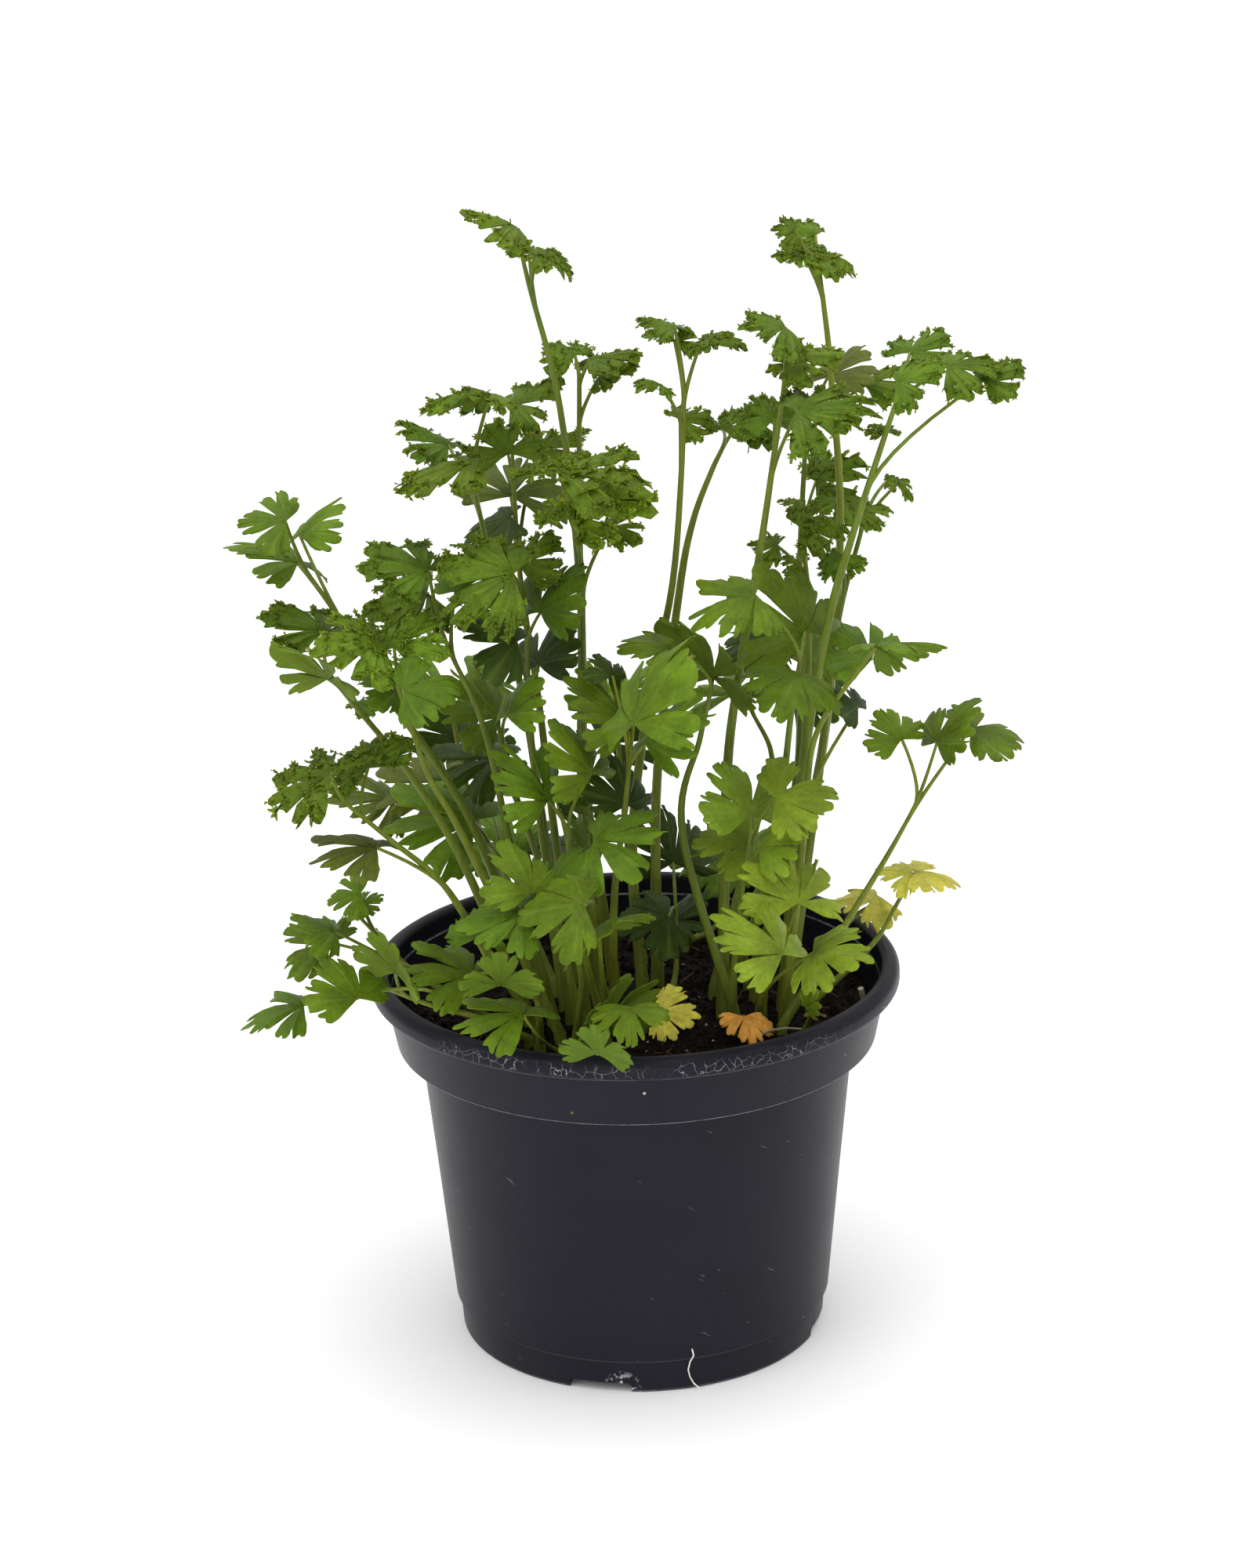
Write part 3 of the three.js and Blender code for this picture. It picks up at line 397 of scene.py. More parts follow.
# %% Where the fronds are
FRONDS = [
  ["tall_left", [[-12, 9], [-13, 12, 149], [-12, 14, 200], [-16, 16, 250], [-23, 17, 282]], [
    [-26, 17, 297, -165, 30, 0, 15, "c"], [-23, 28, 288, 105, 45, 30, 9, "c"],
    [-20, 10, 292, -15, -15, 0, 10, "c"]]],
  ["upper_pair", [[-6, 16], [-12, 26, 144], [-12, 32, 208], [-11, 35, 253]], [
    [-12, 37, 259, 150, 30, -15, 10, "c"], [-8, 36, 258, 15, 15, 0, 14, "c"],
    [-6, 36, 253, 0, 30, 0, 11, "c"]]],
  ["left_upper_front", [[-17, -12], [-22, -8, 134], [-27, -6, 176], [-33, -4, 206], [-38, -3, 233]], [
    [-33, -6, 259, -165, 15, 15, 17, "c"], [-45, 14, 241, 165, 30, 0, 15, "c"],
    [-39, -22, 245, -180, 0, 0, 19, "c"]]],
  ["left_upper_back", [[-15, 14], [-20, 22, 123], [-24, 27, 166], [-28, 30, 200], [-29, 30, 225]], [
    [-29, 34, 247, 0, 30, 15, 15, "c"], [-30, 24, 236, -120, 60, 30, 14, "c"],
    [-23, 56, 229, 0, 30, -30, 15, "c"], [-30, 34, 222, 75, 30, 15, 18, "o"],
    [-30, 28, 218, -180, -15, -15, 14, "d"]]],
  ["bright_curly", [[-9, -6], [-12, -4, 137], [-12, -2, 175], [-11, 0, 207]], [
    [-14, -16, 229, 30, 45, 0, 22, "b"], [-4, 2, 221, 15, 45, 0, 13, "c"],
    [-16, -26, 243, 30, 15, 0, 22, "c"]]],
  ["centre_left_fan", [[-15, -19], [-22, -14, 132], [-25, -12, 163], [-26, -10, 199]], [
    [-28, -36, 220, -180, 15, -30, 20, "c"], [-27, -7, 214, 30, 45, 15, 13, "c"],
    [-22, -15, 204, 15, 60, 15, 16, "f"], [-28, -28, 200, -180, 30, -15, 16, "d"],
    [-23, -8, 188, 45, 60, -15, 16, "d"]]],
  ["left_inner_curly", [[-22, -14], [-30, -18, 133], [-37, -22, 175], [-45, -24, 197]], [
    [-49, -34, 221, 150, 30, 0, 18, "c"], [-51, -8, 208, -165, 0, -15, 17, "c"],
    [-43, -22, 212, 30, 60, 15, 16, "f"]]],
  ["left_wide_curly", [[-20, -27], [-37, -34, 137], [-45, -38, 157], [-51, -40, 170], [-57, -42, 192]], [
    [-62, -44, 206, -150, 15, -30, 16, "b"], [-58, -40, 203, 45, 45, 0, 15, "b"],
    [-58, -32, 190, -180, 30, -15, 12, "f"], [-55, -58, 197, 0, 15, 30, 13, "f"]]],
  ["far_left_upper", [[-25, -7], [-42, -4, 144], [-62, -2, 178], [-73, -2, 198], [-81, -2, 211]], [
    [-86, -10, 228, -180, 15, -30, 12, "f"], [-85, 18, 217, 45, 45, -15, 14, "f"],
    [-85, 8, 212, 150, 30, 15, 20, "f"]]],
  ["left_curly", [[-28, -15], [-44, -16, 137], [-57, -18, 163], [-70, -20, 182], [-75, -20, 189]], [
    [-78, -4, 197, 135, 30, 15, 18, "c"], [-76, -26, 191, -150, 60, 15, 18, "f"],
    [-70, -13, 180, 15, 15, 0, 9, "c"]]],
  ["left_long_curly", [[-26, -22], [-41, -36, 126], [-49, -42, 142], [-60, -46, 154], [-70, -48, 164]], [
    [-74, -56, 176, 150, 0, -15, 18, "c"], [-66, -38, 171, 105, 30, -30, 15, "c"],
    [-64, -50, 154, 165, 15, 0, 17, "o"]]],
  ["olive_left_back", [[-21, 4], [-35, 22, 121], [-41, 30, 130]], [
    [-49, 26, 145, 165, 15, -15, 20, "o"], [-42, 6, 141, 165, 30, -15, 23, "f"],
    [-42, 54, 137, 45, 60, 0, 16, "d"], [-65, 38, 136, -165, 30, -15, 17, "o"]]],
  ["trailing_low", [[-28, -30], [-41, -41, 104], [-53, -39, 107], [-65, -36, 111]], [
    [-70, -56, 116, 135, 45, 0, 15, "f"], [-85, -42, 109, 165, 0, 0, 17, "f"],
    [-79, -24, 119, 150, 15, -15, 14, "f"], [-61, -44, 118, -135, 75, 0, 15, "f"]]],
  ["trailing_high", [[-34, -20], [-45, -22, 100], [-59, -20, 110], [-71, -18, 123]], [
    [-71, -18, 130, -180, 0, -30, 9, "f"], [-71, -12, 125, 15, 30, 15, 6, "f"],
    [-77, -34, 126, -180, 30, 0, 12, "f"]]],
  ["centre_tall", [[2, 2], [0, 8, 132], [5, 9, 171], [12, 10, 203], [15, 12, 233], [16, 12, 253]], [
    [14, 12, 271, 150, 15, 0, 11, "c"], [14, 18, 266, 45, 30, 15, 7, "c"],
    [21, 12, 268, -15, 15, 0, 11, "c"], [10, 4, 258, -135, 15, -15, 7, "c"],
    [15, 20, 245, 15, 15, 30, 9, "c"]]],
  ["centre_thin", [[6, 10], [7, 22, 145], [14, 27, 196], [18, 29, 215], [23, 30, 228], [26, 31, 234]], [
    [26, 21, 242, 60, 30, 0, 9, "c"], [32, 32, 243, 15, 15, 0, 18, "c"]]],
  ["tall_right", [[31, 8], [50, 26, 142], [57, 30, 207], [55, 32, 253], [53, 33, 274]], [
    [46, 33, 291, -165, 15, -30, 7, "c"], [52, 48, 287, -180, 30, -30, 9, "c"],
    [48, 34, 285, -180, 0, -15, 8, "c"], [50, 32, 285, 15, 0, 15, 13, "c"]]],
  ["right_centre", [[23, -10], [25, -4, 153], [29, -2, 184], [35, 0, 217], [39, 2, 242], [41, 4, 254]], [
    [42, 4, 272, -150, 15, -15, 13, "c"], [43, 10, 261, -165, 0, -30, 6, "c"],
    [43, 4, 264, 0, 15, 15, 14, "c"], [44, -16, 255, 0, 15, 15, 20, "c"],
    [39, 6, 248, 120, 30, -15, 11, "c"]]],
  ["olive_right", [[28, 15], [45, 34, 140], [47, 44, 199], [49, 48, 232]], [
    [55, 48, 249, 45, 30, 0, 16, "o"], [65, 50, 246, 30, 30, 0, 13, "c"],
    [52, 54, 219, 0, 30, 30, 14, "c"], [58, 44, 217, -75, -15, 0, 11, "c"]]],
  ["right_top", [[39, -10], [44, -14, 156], [51, -16, 199], [57, -18, 222],
    [64, -18, 244], [68, -18, 256]], [ [73, -2, 266, 30, 30, 15, 12, "c"],
    [68, -26, 264, -15, 30, 30, 12, "c"], [81, -18, 266, 0, 15, 15, 13, "c"],
    [90, -18, 262, 15, 30, 15, 11, "c"], [66, -12, 248, 120, 30, 0, 6, "c"]]],
  ["right_mid_dark", [[41, -2], [50, 6, 153], [55, 10, 191], [62, 12, 218]], [
    [70, 34, 224, 0, 0, 0, 6, "c"], [71, 14, 228, 45, 0, 30, 6, "c"], [61, 6, 223, 15, 15, 15, 8, "c"],
    [56, 4, 212, -135, -30, 0, 9, "c"]]],
  ["right_mid_small", [[32, -1], [45, 14, 146], [48, 18, 189], [47, 20, 210]], [
    [46, 20, 222, -180, 15, 0, 6, "c"], [45, -2, 221, 0, 15, 30, 12, "c"],
    [40, 22, 210, -180, 15, -15, 8, "c"], [46, 22, 205, 150, 15, -15, 6, "c"]]],
  ["right_big_flat", [[33, -12], [38, -24, 149], [41, -30, 181], [43, -32, 193]], [
    [32, -36, 213, -165, 0, -15, 17, "f"], [45, -18, 198, 150, 60, -15, 21, "f"],
    [42, -40, 194, -105, -15, -15, 15, "f"]]],
  ["centre_right_flat", [[26, -17], [13, -18, 145], [18, -20, 171], [21, -20, 184]], [
    [11, -18, 195, -165, 15, -15, 14, "f"], [22, -4, 182, -120, 75, -15, 22, "f"]]],
  ["right_arm_flat", [[39, -17], [44, -26, 147], [47, -30, 174], [58, -34, 193]], [
    [63, -4, 186, 135, 45, 0, 16, "f"], [62, -36, 199, -15, 15, -30, 18, "f"],
    [59, -10, 175, 165, 45, 0, 12, "d"]]],
  ["under_right", [[21, 3], [36, 24, 141], [38, 28, 151], [33, 30, 162]], [
    [28, 32, 166, 90, 15, -15, 17, "f"], [37, 26, 184, -150, -15, -15, 14, "d"]]],
  ["centre_big", [[-6, -20], [-5, -30, 131], [-2, -34, 155], [0, -36, 172]], [
    [-1, -28, 178, 165, 60, -15, 18, "f"], [1, -66, 190, 60, 60, -30, 25, "f"],
    [4, -36, 175, 30, 45, -15, 20, "f"], [-4, -26, 190, 120, 45, 15, 8, "d"],
    [-1, -28, 156, 105, 60, 30, 15, "d"]]],
  ["centre_left_big", [[-12, -26], [-16, -34, 132], [-16, -36, 154]], [
    [-10, -38, 168, 150, 60, 0, 17, "f"], [-19, -24, 156, 30, 45, 15, 9, "d"],
    [-21, -40, 162, 150, 60, 0, 18, "f"]]],
  ["left_mid_flat", [[-19, -5], [-24, 0, 127], [-31, 2, 152], [-34, 4, 165]], [
    [-34, 2, 171, 165, 45, -15, 19, "f"], [-31, -32, 182, 45, 60, -15, 13, "f"],
    [-36, 12, 156, 165, 15, -15, 17, "d"]]],
  ["right_front_pair", [[38, -25], [55, -22, 120], [66, -18, 137], [73, -16, 149]], [
    [70, -16, 168, 135, 45, -15, 11, "f"], [79, -16, 167, 15, 60, 0, 15, "f"],
    [88, -12, 169, 15, 0, 15, 15, "f"]]],
  ["front_right_mid", [[25, -22], [26, -34, 121], [30, -42, 153]], [
    [30, -40, 157, 120, 60, 15, 16, "l"], [36, -46, 163, 0, 15, 30, 15, "l"],
    [30, -26, 145, -180, 15, -30, 14, "l"], [32, -46, 150, 0, 45, 15, 13, "l"]]],
  ["light_front", [[32, -20], [34, -38, 115], [38, -46, 126]], [
    [41, -54, 138, 105, 45, 15, 18, "l"], [36, -76, 133, 150, 45, 0, 19, "l"],
    [45, -50, 123, -30, 15, 15, 16, "l"]]],
  ["yellow_right", [[46, -11], [63, -4, 107], [70, 2, 116]], [
    [74, 2, 125, -180, 15, -15, 9, "y"], [75, 2, 125, 0, 0, 0, 12, "y"]]],
  ["yellow_green_right", [[41, 6], [58, 16, 106], [64, 20, 109]], [
    [66, 20, 112, -165, 0, 0, 14, "y"]]],
  ["front_centre_top", [[-8, -32], [-14, -42, 129], [-12, -50, 148]], [
    [-10, -22, 140, 165, 75, 0, 14, "f"], [-9, -54, 156, -15, 15, 15, 19, "f"]]],
  ["front_centre_mid", [[-3, -27], [-8, -42, 112], [-9, -49, 132]], [
    [-12, -79, 148, -180, 0, -30, 16, "f"], [-10, -52, 131, -60, 45, 15, 16, "f"]]],
  ["front_left_mid", [[-16, -37], [-14, -46, 118], [-21, -52, 137]], [
    [-25, -68, 148, 135, 60, 0, 14, "f"], [-21, -50, 142, 45, 60, -15, 13, "f"],
    [-27, -70, 143, -180, 0, -15, 17, "f"]]],
  ["front_left_light", [[-25, -35], [-26, -48, 114], [-37, -54, 124]], [
    [-34, -62, 121, -105, 75, 15, 12, "f"], [-40, -50, 129, 75, 60, -15, 10, "f"],
    [-42, -34, 113, 150, 30, 0, 18, "f"]]],
  ["front_left_low", [[-19, -42], [-23, -50, 100]], [
    [-28, -68, 115, 150, 15, 0, 17, "f"]]],
  ["front_low", [[-9, -38], [-9, -48, 102]], [
    [-8, -46, 103, -45, 75, 0, 17, "f"], [-2, -74, 119, -90, -30, 0, 10, "f"],
    [-10, -72, 106, -105, 75, 0, 11, "f"]]],
  ["dark_centre", [[9, -6], [11, 2, 100], [11, 4, 114]], [
    [9, -8, 118, -165, 0, -30, 14, "d"], [10, 16, 107, 0, 45, 15, 14, "d"],
    [11, 22, 122, 105, 60, 15, 17, "d"]]],
  ["small_right", [[44, -28], [45, -36, 101]], [
    [44, -35, 102, -15, 75, 30, 7, "l"]]],
  ["back_left", [[-26, 22], [-42, 44, 125], [-47, 52, 145], [-49, 55, 158]], [
    [-51, 58, 161, 150, 45, 15, 18, "f"], [-44, 54, 167, -15, -15, 15, 15, "f"],
    [-48, 60, 146, 150, 45, -15, 15, "d"]]],
  ["back_low_left", [[-16, 36], [-26, 50, 99], [-29, 58, 112]], [
    [-33, 60, 113, 135, 45, -15, 16, "f"], [-24, 50, 118, 15, 15, 0, 15, "d"],
    [-30, 69, 109, 90, 30, 0, 14, "d"]]],
  ["back_middle", [[2, 26], [-1, 38, 119], [-3, 46, 146], [-4, 48, 159]], [
    [-6, 64, 155, 135, 60, 0, 14, "f"], [-1, 48, 162, 15, 30, 0, 18, "f"],
    [-7, 54, 146, 45, 45, 0, 17, "d"]]],
  ["back_right", [[24, 24], [43, 40, 126], [47, 50, 157], [48, 52, 167]], [
    [45, 56, 169, 120, 60, 15, 16, "f"], [50, 50, 174, -15, 15, 30, 15, "f"],
    [45, 56, 159, 30, 30, 15, 16, "d"]]],
  ["back_low_right", [[14, 38], [23, 48, 94], [26, 54, 108]], [
    [26, 54, 113, -180, 0, -30, 16, "f"], [28, 54, 112, 15, 30, 15, 16, "f"]]],
]
FALLEN = [
    ["fallen_yellow_leaf", [6, -20], -15, 8, 11, "#f2e65c"],
    ["fallen_orange_leaf", [28, -31], -75, -6, 9, "#f0a54a"],
]
print("fronds", len(FRONDS), "heads", sum(len(heads) for _, _, heads in FRONDS))

# %% Leaf colours
# the dark green of the "d" heads, which sit deep among the others, is painted shade
LEAF_COLOURS_AND_SHADE = {
    "c": "#516815", "f": "#516911", "b": "#617b18", "d": "#2f3f0f",
    "l": "#6d811f", "o": "#566020", "y": "#b3b048",
}
STALK_COLOUR = "#647220"
STALK_FOOT_COLOUR = "#717b2e"


# %% [markdown]
# ## Leaf and stalk finishes
# Living leaf: a waxy, slightly bumpy skin over soft green tissue. To the eye that is a satin sheen
# on a colour that wanders from pale ribs to deeper flesh, with a duller, paler underside. The
# colour comes from an attribute of each head, so one finish serves all fronds. On top of it the
# finish paints light and shade: each blade is lighter towards its edge and darker towards its heel,
# and the crisped bumps get a painted highlight on top and painted shade in their creases.

# %% Leaf finish
def blade_material():
    material = new_material("parsley_blade")
    tree = material.node_tree
    place = add(tree, "ShaderNodeTexCoord").outputs["Object"]
    colour, rib, reach, under, crisp = (
        add(tree, "ShaderNodeAttribute", {"attribute_name": name}).outputs
        for name in ("leaf_colour", "rib", "reach", "underside", "crisp"))
    # mottling about 6 mm and 1.2 mm wide; painted light that makes each blade lighter towards its edge
    # and painted shade that makes it darker towards its heel; and crisped edges of rounded bumps 0.8 mm
    # wide
    broad = add(tree, "ShaderNodeTexNoise", Vector=place, Scale=160.0, Detail=2.0)
    fine = add(tree, "ShaderNodeTexNoise", Vector=place, Scale=820.0, Detail=3.0)
    cells = add(tree, "ShaderNodeTexVoronoi", {"feature": "F1"}, Vector=place, Scale=1250.0)
    shades = [add(tree, "ShaderNodeMapRange", Value=value, From_Min=low, From_Max=high,
                  To_Min=at_low, To_Max=at_high).outputs[0]
              for value, low, high, at_low, at_high in (
                  (broad.outputs["Fac"], 0.3, 0.7, 0.78, 1.2),
                  (fine.outputs["Fac"], 0.3, 0.7, 0.86, 1.14), (reach["Fac"], 0.2, 1.0, 0.86, 1.12),
                  (cells.outputs["Distance"], 0.1, 0.75, 1.55, 0.55))]
    # the bumps show only where the edge is crisped: a painted highlight on top and painted shade in the
    # creases
    dome_painted_light_and_height = shades.pop()
    painted_bump_light = add(tree, "ShaderNodeMix", {"data_type": "FLOAT"}, _0=crisp["Fac"], _2=1.0, _3=dome_painted_light_and_height)
    light = painted_bump_light.outputs[0]
    for shade in shades:
        light = add(tree, "ShaderNodeMath", {"operation": "MULTIPLY"}, _0=light, _1=shade).outputs[0]
    tone = add(tree, "ShaderNodeVectorMath", {"operation": "SCALE"}, _0=colour["Color"],
               Scale=light).outputs[0]
    for mask, share, tint in ((rib["Fac"], 0.2, "#8aa344"), (under["Fac"], 0.3, "#6b7e30")):
        amount = add(tree, "ShaderNodeMath", {"operation": "MULTIPLY"}, _0=mask, _1=share)
        tone = add(tree, "ShaderNodeMix", {"data_type": "RGBA"}, _0=amount.outputs[0],
                   _6=tone, _7=linear(tint)).outputs[2]
    skin = add(tree, "ShaderNodeMath", {"operation": "SUBTRACT"}, _0=fine.outputs["Fac"], _1=rib["Fac"])
    bump = add(tree, "ShaderNodeBump", Strength=0.5, Distance=0.0004, Height=skin.outputs[0])
    domes = add(tree, "ShaderNodeMath", {"operation": "MULTIPLY"}, _0=crisp["Fac"], _1=dome_painted_light_and_height)
    bump = add(tree, "ShaderNodeBump", Strength=0.8, Distance=0.0006, Height=domes.outputs[0],
               Normal=bump.outputs[0])
    rough = add(tree, "ShaderNodeMapRange", Value=under["Fac"], To_Min=0.46, To_Max=0.66)
    shader = add(tree, "ShaderNodeBsdfPrincipled", Base_Color=tone, Roughness=rough.outputs[0],
                 IOR=1.42, Specular_IOR_Level=0.14, Subsurface_Weight=0.2,
                 Subsurface_Radius=(0.8, 1.0, 0.25), Subsurface_Scale=0.001, Normal=bump.outputs[0])
    return finish_material(material, shader)


def stalk_material():
    material = new_material("parsley_stalk")
    tree = material.node_tree
    place = add(tree, "ShaderNodeTexCoord").outputs["Object"]
    colour = add(tree, "ShaderNodeAttribute", {"attribute_name": "stalk_colour"})
    # streaks along the stalk, a millimetre wide and a centimetre and a half long
    stretch = add(tree, "ShaderNodeMapping", Vector=place, Scale=(900, 900, 70))
    streak = add(tree, "ShaderNodeTexNoise", Vector=stretch.outputs[0], Scale=1.0, Detail=3.0)
    light = add(tree, "ShaderNodeMapRange", Value=streak.outputs["Fac"], From_Min=0.3, From_Max=0.7,
                To_Min=0.8, To_Max=1.18)
    tone = add(tree, "ShaderNodeVectorMath", {"operation": "SCALE"}, _0=colour.outputs["Color"],
               Scale=light.outputs[0])
    bump = add(tree, "ShaderNodeBump", Strength=0.3, Distance=0.0003, Height=streak.outputs["Fac"])
    shader = add(tree, "ShaderNodeBsdfPrincipled", Base_Color=tone.outputs[0], Roughness=0.38,
                 IOR=1.42, Specular_IOR_Level=0.22, Normal=bump.outputs[0])
    return finish_material(material, shader)


BLADE_FINISH = blade_material()
STALK_FINISH = stalk_material()


# %% [markdown]
# ## The frond's node tree
# The input is a mesh of bare paths and points. An edge belongs to a stalk or twig and carries its
# radius. A loose point is a heel and carries the blade's number, turn, length and colour.

# %% Node tree
def node_tree(name, **inputs):
    """A geometry node tree with named inputs of the given kinds, and those inputs as sockets."""
    tree = bpy.data.node_groups.new(name, "GeometryNodeTree")
    tree.interface.new_socket("Geometry", in_out="OUTPUT", socket_type="NodeSocketGeometry")
    for label, kind in inputs.items():
        tree.interface.new_socket(label.replace("_", " "), in_out="INPUT",
                                  socket_type=f"NodeSocket{kind}")
    return tree, add(tree, "NodeGroupInput").outputs


def frond_tree():
    tree, start = node_tree("frond", Paths="Geometry", Blades="Collection", Blade_finish="Material",
                            Stalk_finish="Material", Stalk_ribs="Int", Rib_depth="Float", Bend="Float",
                            Bend_size="Float", Seed="Float")
    named = {}
    for label, kind in (("radius", "FLOAT"), ("length", "FLOAT"), ("turn", "FLOAT_VECTOR"),
                        ("blade", "INT"), ("reach", "FLOAT")):
        node = add(tree, "GeometryNodeInputNamedAttribute", {"data_type": kind}, Name=label)
        named[label] = node.outputs["Attribute"]

    # stalk and twigs: a ribbed star drawn along each path
    path = add(tree, "GeometryNodeMeshToCurve", Mesh=start["Paths"])
    valley = add(tree, "ShaderNodeMath", {"operation": "SUBTRACT"}, _0=1.0, _1=start["Rib depth"])
    star = add(tree, "GeometryNodeCurveStar", Points=start["Stalk ribs"], Inner_Radius=valley.outputs[0],
               Outer_Radius=1.0)
    tube = add(tree, "GeometryNodeCurveToMesh", Curve=path.outputs[0], Profile_Curve=star.outputs[0],
               Scale=named["radius"], Fill_Caps=True)
    tube = add(tree, "GeometryNodeSetMaterial", Geometry=tube.outputs[0], Material=start["Stalk finish"])

    # leaf heads: a blade for each point that has a length
    is_head = add(tree, "FunctionNodeCompare", {"data_type": "FLOAT", "operation": "GREATER_THAN"},
                  _0=named["length"], _1=0.0)
    pick = add(tree, "GeometryNodeCollectionInfo", Collection=start["Blades"], Separate_Children=True,
               Reset_Children=True)
    turn = add(tree, "FunctionNodeEulerToRotation", _0=named["turn"])
    heads = add(tree, "GeometryNodeInstanceOnPoints", Points=start["Paths"], Selection=is_head.outputs[0],
                Instance=pick.outputs[0], Pick_Instance=True, Instance_Index=named["blade"],
                Rotation=turn.outputs[0], Scale=named["length"])
    leaves = add(tree, "GeometryNodeRealizeInstances", Geometry=heads.outputs[0])

    # bend the blades by noise that grows from the heel to the edge
    spot = add(tree, "GeometryNodeInputPosition")
    wander = add(tree, "ShaderNodeTexNoise", {"noise_dimensions": "4D"}, Vector=spot.outputs[0],
                 W=start["Seed"], Scale=start["Bend size"], Detail=1.0)
    wander = add(tree, "ShaderNodeVectorMath", {"operation": "SUBTRACT"}, _0=wander.outputs["Color"],
                 _1=(0.5, 0.5, 0.5))
    grow = add(tree, "ShaderNodeMath", {"operation": "MULTIPLY"}, _0=named["reach"], _1=start["Bend"])
    offset = add(tree, "ShaderNodeVectorMath", {"operation": "SCALE"}, _0=wander.outputs[0],
                 Scale=grow.outputs[0])
    leaves = add(tree, "GeometryNodeSetPosition", Geometry=leaves.outputs[0], Offset=offset.outputs[0])
    leaves = add(tree, "GeometryNodeSetMaterial", Geometry=leaves.outputs[0],
                 Material=start["Blade finish"])

    whole = add(tree, "GeometryNodeJoinGeometry")
    tree.links.new(tube.outputs[0], whole.inputs[0])
    tree.links.new(leaves.outputs[0], whole.inputs[0])
    smooth = add(tree, "GeometryNodeSetShadeSmooth", Geometry=whole.outputs[0])
    add(tree, "NodeGroupOutput", Geometry=smooth.outputs[0])
    return tree


FROND_TREE = frond_tree()


def freeze(item):
    """Keeps what the object's modifiers make of it as its plain mesh."""
    graph = bpy.context.evaluated_depsgraph_get()
    result = bpy.data.meshes.new_from_object(item.evaluated_get(graph), depsgraph=graph)
    item.modifiers.clear()
    item.data = result


def bake(item, tree, settings):
    """Runs a node tree on an object and keeps the result."""
    modifier = item.modifiers.new("nodes", "NODES")
    modifier.node_group = tree
    for socket in tree.interface.items_tree:
        if socket.in_out == "INPUT" and socket.name in settings:
            modifier[socket.identifier] = settings[socket.name]
    freeze(item)
    item.data.name = item.name


# %% Stalk paths
# lengths are in millimetres; the other values are shares, counts and slopes
SOIL_TOP = 91
STRAIGHT_ABOVE_SOIL = 2
STALK_START = 86
PATH_STEPS = 28
TWIG_STEPS = 7
SEARCH_STEPS = 16
STEEPNESS = 0.75
TWIG_SPACING = 3
TWIG_HANDLE = 0.3
BACK_STEP = 0.02
FOOT_RADIUS_MIN = 1.25
FOOT_RADIUS_PER_MM = 1 / 260
SUNK_SWELL = 1.12
FORK_THINNING = 0.34
THINNING_CURVE = 0.5
PALE_FOOT = 45
TWIG_RADIUS = 0.62
HEEL_RADIUS = 0.42
MOSSY_SHARE = 0.3
FOOT_VARIETY, STALK_VARIETY, LEAF_VARIETY = 0.1, 0.12, 0.13
WARMTH = 0.6


def curve_point(points, t):
    """A point of the smooth curve through the points, with t running from 0 to 1."""
    place = t * (len(points) - 1)
    i = min(int(place), len(points) - 2)
    u = place - i
    p1, p2 = points[i], points[i + 1]
    p0 = points[i - 1] if i else 2 * p1 - p2
    p3 = points[i + 2] if i + 2 < len(points) else 2 * p2 - p1
    slope1, slope2 = (p2 - p0) / 2, (p3 - p1) / 2
    return (p1 + slope1 * u + (3 * (p2 - p1) - 2 * slope1 - slope2) * u ** 2
            + (2 * (p1 - p2) + slope1 + slope2) * u ** 3)


def twig_path(start, along, heel, steps):
    """Leaves the stalk along it, then bends over to the heel."""
    handle = start + along * (heel - start).length * TWIG_HANDLE
    path = []
    for i in range(steps + 1):
        u = i / steps
        path.append(start * (1 - u) ** 2 + handle * 2 * u * (1 - u) + heel * u ** 2)
    return path


class Paths:
    """Bare paths and points in millimetres, with the values that the node tree reads: radius,
    length, turn, blade, and the colours of leaf and stalk."""

    def __init__(self):
        self.verts, self.edges, self.values = [], [], []

    def stalk(self, path, radii, colours):
        first = len(self.verts)
        self.verts.extend(Vector(point) for point in path)
        self.edges.extend((first + i, first + i + 1) for i in range(len(path) - 1))
        self.values.extend((r, 0.0, (0, 0, 0), 0, (0, 0, 0, 1), c) for r, c in zip(radii, colours))

    def head(self, heel, bearing, pitch, roll, size, number, colour):
        turn = [math.radians(angle) for angle in (roll, -pitch, bearing)]
        self.verts.append(Vector(heel))
        self.values.append((0.0, size * MM, turn, number, colour, (0, 0, 0, 1)))

    def mesh(self, name):
        mesh = bpy.data.meshes.new(name)
        mesh.from_pydata([v * MM for v in self.verts], self.edges, [])
        columns = list(zip(*self.values))
        columns[0] = np.array(columns[0]) * MM
        kinds = (("radius", "FLOAT", "value"), ("length", "FLOAT", "value"),
                 ("turn", "FLOAT_VECTOR", "vector"), ("blade", "INT", "value"),
                 ("leaf_colour", "FLOAT_COLOR", "color"), ("stalk_colour", "FLOAT_COLOR", "color"))
        for (label, kind, key), column in zip(kinds, columns):
            mesh.attributes.new(label, kind, "POINT").data.foreach_set(key, np.array(column).ravel())
        return mesh


def shifted(code, rng, amount):
    """A hex colour as linear values, a little lighter or darker and a little yellower or bluer."""
    light, warm = 1 + rng.uniform(-amount, amount), rng.uniform(-amount, amount) * WARMTH
    r, g, b, a = linear(code)
    return [r * light * (1 + warm), g * light, b * light * (1 - warm), a]


